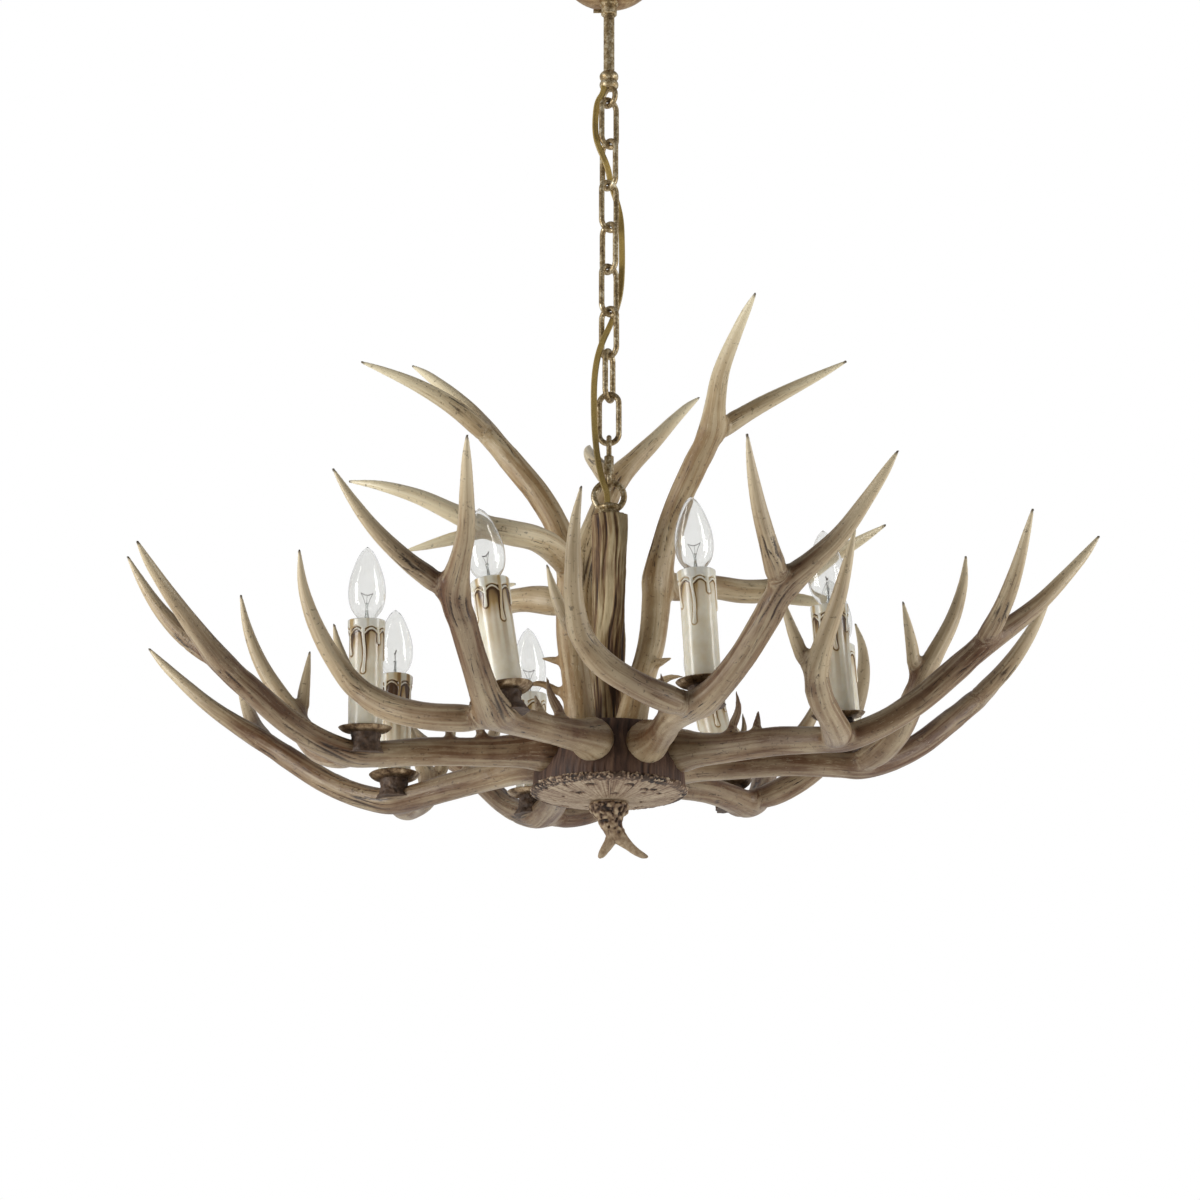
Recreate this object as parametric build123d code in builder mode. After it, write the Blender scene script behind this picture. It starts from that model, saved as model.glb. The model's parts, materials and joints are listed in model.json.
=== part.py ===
"""Antler chandelier: eight candle arms round a hub, three antlers standing, hung from a chain.

Millimetres, +Z up. The origin is the middle of the ceiling plate's top face, so the whole
fixture hangs below z = 0. The front is -Y and the right-hand side is +X.
"""

from build123d import *
from math import cos, radians, sin, tan
import os

os.makedirs("parts", exist_ok=True)

# ---------------------------------------------------------------- driving dimensions
running_gap = 0.3            # air between two pieces that move against each other

plate_length = 106.0         # ceiling plate, a steel strip across the outlet box
plate_width = 22.0
plate_thickness = 2.5
plate_hole_spacing = 88.9    # screw spacing of a round outlet box
plate_hole_radius = 2.4
ground_screw_x = 20.0
ground_screw_radius = 2.0
ground_screw_head = 3.0
locknut_radius = 10.0        # over the corners
locknut_height = 5.0

canopy_radius = 62.0
canopy_depth = 48.0
canopy_wall = 1.2
collar_radius = 8.0
collar_height = 14.0
thumbscrew_radius = 2.0
thumbscrew_head = 3.6

stem_radius = 5.5            # hollow threaded stem that carries everything
stem_bore = 3.4
stem_exposed = 63.0          # bare stem between the collar and the loop
stem_in_loop = 12.0
knuckle_radius = 9.5         # two turned beads above the eye of the loop
knuckle_height = 18.0
eye_radius = 9.2             # wire centre line of the loop's eye
eye_heading = -48

link_count = 8
link_wire = 2.8              # wire radius
link_width = 25.0            # outside
link_length = 56.1           # outside
link_headings = (42, -48, 42, -48, 42, -42, 68, -10)

quick_wire = 2.5             # quick link between the chain and the ring
quick_width = 25.0
quick_length = 56.0
quick_heading = 90
quick_mouth = 8.0            # gap in one side that the sleeve nut closes
sleeve_nut_radius = 4.6
sleeve_nut_length = 19.0

ring_wire = 3.0
ring_radius = 14.5           # wire centre line
ring_collar_radius = 10.5
ring_collar_height = 12.0

column_height = 214.0
column_top_radius = 18.0
column_foot_radius = 15.0
column_ridges = 9
column_ridge_depth = 1.2
rod_radius = 5.0             # all-thread rod through ring collar, column, hub and finial

hub_height = 60.0
hub_radius = 64.0            # at the top; the drum widens downward to its rim
hub_foot_radius = 72.0
hub_bore = 57.0
hub_wall = 6.0
rim_radius = 75.0
rim_height = 6.0
underside_drop = 8.5         # the hub's underside bulges down to the finial
burr_radius = 20.0           # finial
burr_height = 13.0
finial_drop = 61.0

bolt_radius = 3.0
bolt_head_radius = 5.5
bolt_head_height = 5.0

candle_u = 177.0             # candle position on the antler, along and across the beam
candle_v = -19.0
saddle_radius = 16.0
saddle_top = 13.0            # height over the beam's middle line
cup_radius = 25.0
cup_rise = 5.0
cup_wall = 1.3
candle_radius = 16.0
candle_wall = 2.2
candle_height = 104.0
candle_lip = 1.4
socket_radius = 11.5
socket_drop = 7.0            # socket top below the candle top
cap_radius = 6.95            # screw cap of the lamp
cap_length = 24.0
cap_in_candle = 2.0          # cap top below the candle top
bulb_radius = 17.5
bulb_show = 70.0             # glass above the candle
glass_wall = 1.0
cord_radius = 2.4

# ---------------------------------------------------------------- levels, top to bottom
collar_top = -canopy_depth
collar_foot = collar_top - collar_height
knuckle_top = collar_foot - stem_exposed
knuckle_foot = knuckle_top - knuckle_height
eye_centre = knuckle_foot - 8.7
eye_foot = eye_centre - eye_radius
link_run = link_length - 2 * link_wire                  # between the two end wires
link_pitch = link_run - 2 * link_wire - running_gap
first_link_top = eye_foot + 2 * link_wire + running_gap
last_link_foot = first_link_top - (link_count - 1) * link_pitch - link_run
quick_run = quick_length - 2 * quick_wire
quick_top = last_link_foot + link_wire + quick_wire + running_gap
quick_foot = quick_top - quick_run
ring_top = quick_foot + quick_wire + ring_wire + running_gap
ring_centre = ring_top - ring_radius
ring_collar_top = ring_centre - 8.7
column_top = ring_collar_top - ring_collar_height
hub_top = column_top - column_height
hub_foot = hub_top - hub_height
arm_level = hub_foot + 33.0                             # the beams leave the hub here
arm_start = 60.0                                        # where each arm's own frame begins
burr_top = hub_foot - underside_drop
candle_floor = saddle_top + cup_wall
candle_top = candle_floor + candle_height

# ---------------------------------------------------------------- one antler, in its own frame
# u runs out along the beam, v across it and w up. Each station is (u, v, w, across, high):
# a point of the branch's middle line and the two half widths of its section there.
beam = (
    (0, 6, 3, 18.5, 19.5),
    (13, 6, 3, 20, 20.5),
    (28, 4, 2, 16, 17),
    (60, -4, 0, 13.5, 14),
    (121, -22, -1, 13, 13.5),
    (155, -28, -4, 16, 12.5),
    (182, -30, -6, 19, 12.5),
    (215, -26, 2, 14, 12),
    (252, -20, 20, 12, 12),
    (288, -14, 45, 12, 11.5),
    (319, -8, 68, 14, 11),
    (338, 6, 82, 9.5, 9.5),
    (358, 21, 98, 8, 8),
    (388, 37, 127, 6, 6),
    (407, 47, 148, 3.8, 3.8),
    (417, 53, 161, 1.2, 1.2),
)
outer_prong = (
    (304, -10, 57, 9, 8),
    (324, -20, 74, 10, 9),
    (343, -36, 92, 8.5, 8.5),
    (365, -56, 122, 6.6, 6.6),
    (381, -69, 152, 4, 4),
    (391, -76, 173, 1.2, 1.2),
)
side_branch = (
    (170, -26, -6, 10, 9),
    (186, -56, -4, 14, 12),
    (196, -98, 7, 12, 12),
    (198, -129, 24, 12, 12),
    (202, -147, 42, 12, 11),
    (215, -159, 66, 9, 9),
    (233, -167, 98, 7.2, 7.2),
    (247, -169, 134, 4.6, 4.6),
    (255, -165, 163, 1.2, 1.2),
)
short_tine = (
    (199, -143, 36, 8, 8),
    (193, -157, 62, 6.6, 6.6),
    (187, -165, 90, 4.2, 4.2),
    (183, -168, 113, 1.1, 1.1),
)
hooked_thorn = (
    (60, -3, 4, 9, 6),
    (69, -5, 20, 6, 4.4),
    (77, -8, 36, 3.4, 2.8),
    (76, -9, 51, 0.9, 0.9),
)
small_thorn = (
    (92, -13, 6, 8, 5),
    (97, -15, 20, 3.6, 3),
    (99, -16, 30, 0.9, 0.9),
)
antler_branches = (beam, outer_prong, side_branch, short_tine, hooked_thorn, small_thorn)

# heading round the hub, roll about the beam and pitch up, in degrees, for each arm
arms = (
    (-64.6, 3.3, 1.1),
    (-23.1, 8.8, 0.8),
    (18.4, -4.7, 2.8),
    (63.2, -12.8, 0.3),
    (113.7, -2.0, 0.5),
    (156.6, 2.1, -1.8),
    (203.3, -4.8, -2.1),
    (252.6, 9.0, 0.0),
)
# foot x and y, height over the hub's foot, heading, lean outward and lean sideways
standing = (
    (19, -35, 26, -40.1, 2.1, -3.6),
    (-24, -29, 25, 166.0, 2.4, -5.8),
    (11, 36, 20, 67.4, -3.6, -2.8),
)

# the lamp lead's route, from the loop's foot, through links 2 and 6, to the ring's collar
cord_route = (
    (-4.7, -4.2, knuckle_foot + 5.0),
    (-4.7, -4.2, -148),
    (-11.8, -2.6, -157.5),
    (-13.6, -0.8, -174),
    (-13.8, -2.6, -190),
    (-11.4, -6.0, -206),
    (-1.2, 1.0, -226),
    (1.8, 9.6, -242),
    (7.7, 13.6, -258),
    (12.0, 12.6, -278),
    (12.8, 10.5, -304),
    (13.0, 9.6, -332),
    (11.5, 11.0, -358),
    (5.4, 12.9, -380),
    (-0.8, 2.4, -399),
    (-6.5, -4.8, -414),
    (-11.5, -8.8, -432),
    (-14.4, -9.2, -454),
    (-14.8, -8.4, -478),
    (-14.2, -7.4, -502),
    (-12.4, -7.0, -526),
    (-8.8, -7.4, -548),
    (-4.8, -8.0, -563),
    (-1.4, -6.6, -571),
    (-1.4, -6.6, ring_collar_top),
)


def save(part, name):
    part.label = name
    export_step(part, f"parts/{name}.step")


def upright(heading, z):
    """An upright plane whose local x points along the heading and whose local y points up."""
    a = radians(heading)
    return Plane(origin=(0, 0, z), x_dir=(cos(a), sin(a), 0), z_dir=(sin(a), -cos(a), 0))


def arm_plane(heading, roll, pitch):
    """Where an arm's own frame stands: u outward, w up, then rolled and pitched."""
    a, r, p = radians(heading), radians(roll), radians(pitch)
    out, side = Vector(cos(a), sin(a), 0), Vector(-sin(a), cos(a), 0)
    up = Vector(0, 0, 1)
    u_axis = out * cos(p) + up * sin(p)
    w_axis = up * (cos(r) * cos(p)) - out * (cos(r) * sin(p)) - side * sin(r)
    return Plane(origin=out * arm_start + up * arm_level, x_dir=u_axis, z_dir=w_axis)


def standing_plane(x, y, rise, heading, lean, side_lean):
    """Where a standing antler's frame is: u up, w outward, then leaned."""
    a, p, s = radians(heading), radians(lean), radians(side_lean)
    out, side = Vector(cos(a), sin(a), 0), Vector(sin(a), -cos(a), 0)
    up = Vector(0, 0, 1)
    u_axis = up * (cos(p) * cos(s)) + side * (cos(p) * sin(s)) + out * sin(p)
    w_axis = out * cos(p) - up * (sin(p) * cos(s)) - side * (sin(p) * sin(s))
    return Plane(origin=Vector(x, y, hub_foot + rise), x_dir=u_axis, z_dir=w_axis)


arm_planes = [arm_plane(*arm) for arm in arms]
standing_planes = [standing_plane(*foot) for foot in standing]

# ---------------------------------------------------------------- ceiling plate and stem
with BuildPart() as ceiling_plate:
    with BuildSketch(Plane.XY.offset(-plate_thickness)):
        SlotOverall(plate_length, plate_width)
        Circle(stem_radius, mode=Mode.SUBTRACT)
        with GridLocations(plate_hole_spacing, 0, 2, 1):
            Circle(plate_hole_radius, mode=Mode.SUBTRACT)
        with Locations((ground_screw_x, 0)):
            Circle(ground_screw_radius, mode=Mode.SUBTRACT)
    extrude(amount=plate_thickness)
save(ceiling_plate.part, "ceiling_plate")

with BuildPart() as ground_screw:
    with BuildSketch(Plane(origin=(ground_screw_x, 0, -plate_thickness))):
        Circle(ground_screw_radius)
    extrude(amount=plate_thickness)
    with BuildSketch(Plane(origin=(ground_screw_x, 0, -plate_thickness - ground_screw_head))):
        RegularPolygon(2 * ground_screw_radius, 6)
    extrude(amount=ground_screw_head)
save(ground_screw.part, "ground_screw")

stem_length = -(knuckle_top - stem_in_loop)
with BuildPart() as stem_tube:
    with BuildSketch(Plane.XY.offset(-stem_length)):
        Circle(stem_radius)
        Circle(stem_bore, mode=Mode.SUBTRACT)
    extrude(amount=stem_length)
save(stem_tube.part, "stem_tube")

with BuildPart() as stem_locknut:
    with BuildSketch(Plane.XY.offset(-plate_thickness - locknut_height)):
        RegularPolygon(locknut_radius, 6)
        Circle(stem_radius, mode=Mode.SUBTRACT)
    extrude(amount=locknut_height)
save(stem_locknut.part, "stem_locknut")

# ---------------------------------------------------------------- canopy, collar, thumbscrew
stem_hole = stem_radius + 0.6
with BuildPart() as canopy:
    with BuildSketch(Plane.XZ):
        with BuildLine():
            Polyline((0, 0), (0, -canopy_depth), (14.0, -canopy_depth))
            ThreePointArc((14.0, -canopy_depth), (38.0, -36.0), (50.0, -12.0))
            ThreePointArc((50.0, -12.0), (53.0, -7.0), (58.0, -4.5))
            Polyline((58.0, -4.5), (canopy_radius, -4.5), (canopy_radius, 0), (0, 0))
        make_face()
    revolve(axis=Axis.Z)
    rim_face = canopy.faces().sort_by(Axis.Z)[-1]
    offset(amount=-canopy_wall, openings=rim_face)
    with BuildSketch(Plane.XY.offset(-canopy_depth)):
        Circle(stem_hole)
    extrude(amount=canopy_depth, mode=Mode.SUBTRACT)
save(canopy.part, "canopy")

collar_bore = stem_radius + running_gap
thumbscrew_z = collar_foot + 5.0
with BuildPart() as canopy_collar:
    with BuildSketch(Plane.XZ):
        with BuildLine():
            Polyline(
                (collar_bore, collar_top),
                (collar_radius + 1.5, collar_top),
                (collar_radius + 1.5, collar_top - 2.0),
                (collar_radius, collar_top - 3.5),
                (collar_radius, collar_foot + 1.0),
                (collar_radius - 1.0, collar_foot),
                (collar_bore, collar_foot),
                close=True,
            )
        make_face()
    revolve(axis=Axis.Z)
    with BuildSketch(Plane.YZ.offset(-collar_radius - 2)):
        with Locations((0, thumbscrew_z)):
            Circle(thumbscrew_radius)
    extrude(amount=collar_radius, mode=Mode.SUBTRACT)
save(canopy_collar.part, "canopy_collar")

with BuildPart() as collar_thumbscrew:
    with BuildSketch(Plane.YZ.offset(-collar_bore - 0.2)):
        with Locations((0, thumbscrew_z)):
            Circle(thumbscrew_radius)
    extrude(amount=-6.0)
    with BuildSketch(Plane.YZ.offset(-collar_bore - 5.0)):
        with Locations((0, thumbscrew_z)):
            SlotOverall(2 * thumbscrew_head, 3.4, rotation=35)
    extrude(amount=-5.0)
save(collar_thumbscrew.part, "collar_thumbscrew")

# ---------------------------------------------------------------- loop below the stem
bead = knuckle_height / 2
neck_radius = stem_radius + 1.6
with BuildPart() as stem_loop:
    with BuildSketch(Plane.XZ):
        with BuildLine():
            Polyline((0, knuckle_foot), (0, knuckle_top), (neck_radius, knuckle_top))
            ThreePointArc(
                (neck_radius, knuckle_top),
                (knuckle_radius, knuckle_top - 0.5 * bead),
                (neck_radius, knuckle_top - bead),
            )
            ThreePointArc(
                (neck_radius, knuckle_top - bead),
                (knuckle_radius, knuckle_top - 1.5 * bead),
                (neck_radius, knuckle_foot),
            )
            Line((neck_radius, knuckle_foot), (0, knuckle_foot))
        make_face()
    revolve(axis=Axis.Z)
    with Locations(upright(eye_heading, eye_centre).location):
        Torus(eye_radius, link_wire)
    with BuildSketch(Plane.XY.offset(knuckle_top - stem_in_loop)):
        Circle(stem_radius)
    extrude(amount=stem_in_loop, mode=Mode.SUBTRACT)
    with BuildSketch(Plane.XY.offset(knuckle_foot - 2)):
        with Locations(cord_route[0][:2]):
            Circle(cord_radius)
    extrude(amount=7.0, mode=Mode.SUBTRACT)
save(stem_loop.part, "stem_loop")


# ---------------------------------------------------------------- chain
def racetrack(plane, run, width, wire):
    """A closed wire link: two straight sides of wire joined by two half rings."""
    half = run / 2
    bend = width / 2 - wire
    side = half - bend
    with BuildPart() as link:
        with BuildLine(plane) as path:
            Line((-bend, side), (-bend, -side))
            ThreePointArc((-bend, -side), (0, -half), (bend, -side))
            Line((bend, -side), (bend, side))
            ThreePointArc((bend, side), (0, half), (-bend, side))
        start = path.wires()[0] @ 0
        with BuildSketch(Plane(origin=start, z_dir=path.wires()[0] % 0)):
            Circle(wire)
        sweep(path=path.wires()[0])
    return link


for number, heading in enumerate(link_headings):
    middle = first_link_top - number * link_pitch - link_run / 2
    link = racetrack(upright(heading, middle), link_run, link_width, link_wire)
    save(link.part, f"chain_link_{number + 1}")

quick_middle = (quick_top + quick_foot) / 2
quick_bend = quick_width / 2 - quick_wire
quick_plane = upright(quick_heading, quick_middle)
nut_foot = -sleeve_nut_length + 4.0                     # below the link's middle
mouth_foot = nut_foot + 3.0
quick_link = racetrack(quick_plane, quick_run, quick_width, quick_wire)
with quick_link:
    with Locations(Location((0, -quick_bend, quick_middle + mouth_foot + quick_mouth / 2))):
        Box(3 * quick_wire, 3 * quick_wire, quick_mouth, mode=Mode.SUBTRACT)
save(quick_link.part, "quick_link")

with BuildPart() as quick_link_nut:
    with BuildSketch(Plane.XY.offset(quick_middle + nut_foot)):
        with Locations((0, -quick_bend)):
            RegularPolygon(sleeve_nut_radius, 6)
            Circle(quick_wire + running_gap, mode=Mode.SUBTRACT)
    extrude(amount=sleeve_nut_length)
    chamfer(quick_link_nut.edges().group_by(Axis.Z)[0].filter_by(GeomType.LINE), 0.8)
    chamfer(quick_link_nut.edges().group_by(Axis.Z)[-1].filter_by(GeomType.LINE), 0.8)
save(quick_link_nut.part, "quick_link_nut")

# ---------------------------------------------------------------- ring, its collar, the rod
with BuildPart() as top_ring:
    with Locations(upright(0, ring_centre).location):
        Torus(ring_radius, ring_wire)
save(top_ring.part, "top_ring")

collar_base = column_top
collar_waist = ring_collar_radius - 2.0
with BuildPart() as ring_collar:
    with BuildSketch(Plane.XZ):
        with BuildLine():
            Polyline((0, collar_base), (0, ring_collar_top), (ring_collar_radius - 1, ring_collar_top))
            ThreePointArc(
                (ring_collar_radius - 1, ring_collar_top),
                (ring_collar_radius, ring_collar_top - 2.2),
                (collar_waist, ring_collar_top - 5.0),
            )
            ThreePointArc(
                (collar_waist, ring_collar_top - 5.0),
                (ring_collar_radius + 0.5, ring_collar_top - 8.5),
                (ring_collar_radius + 1, collar_base),
            )
            Line((ring_collar_radius + 1, collar_base), (0, collar_base))
        make_face()
    revolve(axis=Axis.Z)
    add(top_ring.part, mode=Mode.SUBTRACT)
    with BuildSketch(Plane.XY.offset(collar_base)):
        Circle(rod_radius)
    extrude(amount=2.5, mode=Mode.SUBTRACT)
save(ring_collar.part, "ring_collar")

rod_top = collar_base + 2.5
rod_foot = burr_top - burr_height / 2
with BuildPart() as centre_rod:
    with BuildSketch(Plane.XY.offset(rod_foot)):
        Circle(rod_radius)
    extrude(amount=rod_top - rod_foot)
save(centre_rod.part, "centre_rod")


# ---------------------------------------------------------------- ribbed column
def ridged_outline(radius, turn):
    """A closed outline with shallow ridges, like the bark of an antler."""
    points = []
    for k in range(2 * column_ridges):
        a = radians(180 / column_ridges * k + turn)
        reach = radius + (column_ridge_depth if k % 2 else -column_ridge_depth)
        points.append((reach * cos(a), reach * sin(a)))
    return points


column_stations = (
    (0.0, column_foot_radius + 2.0, 0),
    (0.06, column_foot_radius, 3),
    (0.45, column_foot_radius + 0.3, 12),
    (0.85, column_top_radius - 1.2, 22),
    (1.0, column_top_radius, 26),
)
with BuildPart() as centre_column:
    for share, radius, turn in column_stations:
        with BuildSketch(Plane.XY.offset(hub_top + share * column_height)):
            with BuildLine():
                Spline(ridged_outline(radius, turn), periodic=True)
            make_face()
    loft()
    with BuildSketch(Plane.XY.offset(hub_top)):
        Circle(rod_radius)
    extrude(amount=column_height, mode=Mode.SUBTRACT)
save(centre_column.part, "centre_column")

# ---------------------------------------------------------------- bolts that hold the antlers
bolt_reach = 36.0
standing_bolt_reach = 24.0


def bolt(plane, head_end, reach):
    """A round-head bolt along the plane's z, its head behind head_end."""
    with BuildPart() as one:
        with BuildSketch(plane.offset(head_end - bolt_head_height)):
            Circle(bolt_head_radius)
        extrude(amount=bolt_head_height)
        with BuildSketch(plane.offset(head_end)):
            Circle(bolt_radius)
        extrude(amount=reach)
    return one.part


bolts = []
for heading, roll, pitch in arms:
    a = radians(heading)
    radial = Plane(origin=(0, 0, arm_level), z_dir=(cos(a), sin(a), 0))
    bolts.append(bolt(radial, hub_bore, bolt_reach))
for x, y, *rest in standing:
    upward = Plane(origin=(x, y, 0), z_dir=(0, 0, 1))
    bolts.append(bolt(upward, hub_top - hub_wall, standing_bolt_reach))
with BuildPart() as antler_bolts:
    add(bolts)
save(antler_bolts.part, "antler_bolts")

# ---------------------------------------------------------------- hub
drum_foot = hub_foot + rim_height
shoulder = hub_top - 12.0
hip = drum_foot + 16.0
with BuildPart() as hub_drum:
    with BuildSketch(Plane.XZ):
        with BuildLine():
            Polyline((rod_radius, hub_top), (hub_radius, hub_top), (hub_radius + 1, shoulder))
            Spline(
                (hub_radius + 1, shoulder),
                (hub_foot_radius - 1.2, hip),
                (hub_foot_radius, drum_foot),
                tangents=[(0.1, -1), (0.05, -1)],
            )
            Polyline(
                (hub_foot_radius, drum_foot),
                (hub_bore, drum_foot),
                (hub_bore, hub_top - hub_wall),
                (rod_radius, hub_top - hub_wall),
                (rod_radius, hub_top),
            )
        make_face()
    revolve(axis=Axis.Z)
    add(antler_bolts.part, mode=Mode.SUBTRACT)
save(hub_drum.part, "hub_drum")

with BuildPart() as hub_rim:
    with BuildSketch(Plane.XZ):
        with BuildLine():
            Polyline((rim_radius - 3, drum_foot), (rod_radius, drum_foot), (rod_radius, burr_top))
            Line((rod_radius, burr_top), (12, burr_top))
            ThreePointArc((12, burr_top), (46, hub_foot - 0.58 * underside_drop), (rim_radius - 3, hub_foot))
            ThreePointArc((rim_radius - 3, hub_foot), (rim_radius, hub_foot + 3), (rim_radius - 3, drum_foot))
        make_face()
    revolve(axis=Axis.Z)
save(hub_rim.part, "hub_rim")


# ---------------------------------------------------------------- antlers
def branch_sections(stations):
    """The section planes of one branch, square to its middle line and without twist."""
    points = [Vector(*s[:3]) for s in stations]
    planes = []
    across = Vector(0, 0, 1).cross(points[1] - points[0])
    if across.length < 1:
        across = Vector(0, 1, 0)
    for k, point in enumerate(points):
        before = points[max(k - 1, 0)]
        after = points[min(k + 1, len(points) - 1)]
        along = (after - before).normalized()
        across = (across - along * across.dot(along)).normalized()
        planes.append(Plane(origin=point, x_dir=across, z_dir=along))
    return planes


with BuildPart() as antler_mould:
    for stations in antler_branches:
        for plane, station in zip(branch_sections(stations), stations):
            with BuildSketch(plane):
                Ellipse(station[3], station[4])
        loft()

for number, plane in enumerate(arm_planes):
    with BuildPart() as antler:
        with Locations(plane.location):
            add(antler_mould.part)
        with Locations((0, 0, hub_top)):
            Cylinder(hub_radius, 3 * hub_height, mode=Mode.SUBTRACT)
        add(hub_drum.part, mode=Mode.SUBTRACT)
        add(antler_bolts.part, mode=Mode.SUBTRACT)
    save(antler.part, f"antler_arm_{number + 1}")

for number, plane in enumerate(standing_planes):
    with BuildPart() as antler:
        with Locations(plane.location):
            add(antler_mould.part)
        with Locations((0, 0, hub_top)):
            Cylinder(2 * hub_radius, hub_height, align=(Align.CENTER, Align.CENTER, Align.MAX),
                     mode=Mode.SUBTRACT)
        add(antler_bolts.part, mode=Mode.SUBTRACT)
    save(antler.part, f"antler_standing_{number + 1}")

# ---------------------------------------------------------------- finial, a burr with a forked tip
finial_stem = (
    (0, 0, -15, 14, 14),
    (1.5, 0, -24, 12, 12),
    (4.5, 0, -34, 9.2, 9.2),
    (10, 0, -41, 7.6, 7.2),
    (18, 0.5, -48.5, 4.8, 4.8),
    (27, 1, -55.5, 3.7, 3.7),
    (33, 1.5, -58.5, 2.8, 2.8),
    (37, 2, -59.5, 1.2, 1.2),
)
finial_tip = (
    (5, 0, -36, 7, 7),
    (1, 0, -45, 5.4, 5.4),
    (-4, -0.5, -53, 4.4, 4.4),
    (-8, -1, -59, 3.0, 3.0),
    (-10, -1, -finial_drop, 1.2, 1.2),
)
with BuildPart() as finial_form:
    for stations in (finial_stem, finial_tip):
        for plane, station in zip(branch_sections(stations), stations):
            with BuildSketch(plane):
                Ellipse(station[3], station[4])
        loft()
with BuildPart() as finial:
    with BuildSketch(Plane.XZ):
        with BuildLine():
            Polyline((0, burr_top - burr_height), (0, burr_top + 1), (burr_radius - 1, burr_top + 1))
            ThreePointArc(
                (burr_radius - 1, burr_top + 1),
                (burr_radius - 0.5, burr_top - 5),
                (13, burr_top - burr_height),
            )
            Line((13, burr_top - burr_height), (0, burr_top - burr_height))
        make_face()
    revolve(axis=Axis.Z)
    with Locations((0, 0, hub_foot)):
        add(finial_form.part)
    add(hub_rim.part, mode=Mode.SUBTRACT)
    add(centre_rod.part, mode=Mode.SUBTRACT)
save(finial.part, "finial")

# ---------------------------------------------------------------- candles, in the arm's own frame
candle_at = Plane(origin=(candle_u, candle_v, 0))

with BuildPart() as saddle:
    with BuildSketch(candle_at.offset(-6)):
        Circle(saddle_radius + 1)
    with BuildSketch(candle_at.offset(saddle_top)):
        Circle(saddle_radius - 3)
    loft()
    add(antler_mould.part, mode=Mode.SUBTRACT)

cup_seat = candle_radius + 0.5
with BuildPart() as cup:
    with BuildSketch(Plane.XZ):
        with BuildLine():
            Line((0, saddle_top), (cup_seat, saddle_top))
            ThreePointArc(
                (cup_seat, saddle_top),
                (21.5, saddle_top + 1.6),
                (cup_radius, saddle_top + cup_rise),
            )
            Line((cup_radius, saddle_top + cup_rise), (cup_radius - 1, saddle_top + cup_rise + 0.8))
            ThreePointArc(
                (cup_radius - 1, saddle_top + cup_rise + 0.8),
                (20.9, saddle_top + 1.6 + cup_wall),
                (cup_seat, saddle_top + cup_wall),
            )
            Polyline((cup_seat, candle_floor), (0, candle_floor), (0, saddle_top))
        make_face()
    revolve(axis=Axis.Z)

candle_bore = candle_radius - candle_wall
with BuildPart() as sleeve:
    with BuildSketch(Plane.XZ):
        with BuildLine():
            Polyline(
                (candle_bore, candle_floor),
                (candle_radius, candle_floor),
                (candle_radius, candle_top - 14),
                (candle_radius + candle_lip, candle_top - 11),
                (candle_radius + candle_lip, candle_top - 1),
                (candle_radius, candle_top),
                (candle_bore, candle_top),
                close=True,
            )
        make_face()
    revolve(axis=Axis.Z)

socket_bore = cap_radius + 0.35
cap_top = candle_top - cap_in_candle
with BuildPart() as lamp_socket:
    with BuildSketch(Plane.XZ):
        with BuildLine():
            Polyline(
                (0, candle_floor),
                (socket_radius - 3, candle_floor),
                (socket_radius - 3, candle_top - socket_drop - cap_length - 8),
                (socket_radius, candle_top - socket_drop - cap_length - 6),
                (socket_radius, candle_top - socket_drop),
                (socket_bore, candle_top - socket_drop),
                (socket_bore, cap_top - cap_length - 1.5),
                (0, cap_top - cap_length - 1.5),
                close=True,
            )
        make_face()
    revolve(axis=Axis.Z)

# glass: an oval candle lamp, widest at a third of its height; the hollow is the same shape smaller
glass_foot = cap_top
glass_wide = candle_top + 0.36 * bulb_show
glass_outline = (
    (cap_radius - 0.6, glass_foot),
    (0.80 * bulb_radius, candle_top + 0.12 * bulb_show),
    (bulb_radius, glass_wide),
    (0.71 * bulb_radius, candle_top + 0.72 * bulb_show),
    (0, candle_top + bulb_show),
)
with BuildPart() as bulb_glass:
    for share, mode in ((1.0, Mode.ADD), (1 - glass_wall / bulb_radius, Mode.SUBTRACT)):
        outline = [(share * r, glass_wide + share * (z - glass_wide)) for r, z in glass_outline]
        with BuildSketch(Plane.XZ):
            with BuildLine():
                Spline(outline, tangents=[(0.25, 1), (-1, 0.25)])
                Polyline(outline[-1], (0, outline[0][1]), outline[0])
            make_face()
        revolve(axis=Axis.Z, mode=mode)

with BuildPart() as bulb_cap:
    with BuildSketch(Plane.XZ):
        with BuildLine():
            Polyline(
                (0, cap_top - cap_length),
                (3.0, cap_top - cap_length),
                (3.0, cap_top - cap_length + 1.5),
                (cap_radius, cap_top - cap_length + 4.5),
                (cap_radius, cap_top),
                (0, cap_top),
                close=True,
            )
        make_face()
    revolve(axis=Axis.Z)

on_beam = candle_at.location
groups = (
    (saddle.part, "candle_saddles"),
    (cup.part.moved(on_beam), "drip_cups"),
    (sleeve.part.moved(on_beam), "candle_sleeves"),
    (lamp_socket.part.moved(on_beam), "lamp_sockets"),
)
for piece, name in groups:
    with BuildPart() as group:
        with Locations([plane.location for plane in arm_planes]):
            add(piece)
    save(group.part, name)

for number, plane in enumerate(arm_planes):
    for piece, name in ((bulb_glass.part, "bulb_glass"), (bulb_cap.part, "bulb_cap")):
        with BuildPart() as lamp_piece:
            with Locations(plane.location * on_beam):
                add(piece)
        save(lamp_piece.part, f"{name}_{number + 1}")

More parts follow.
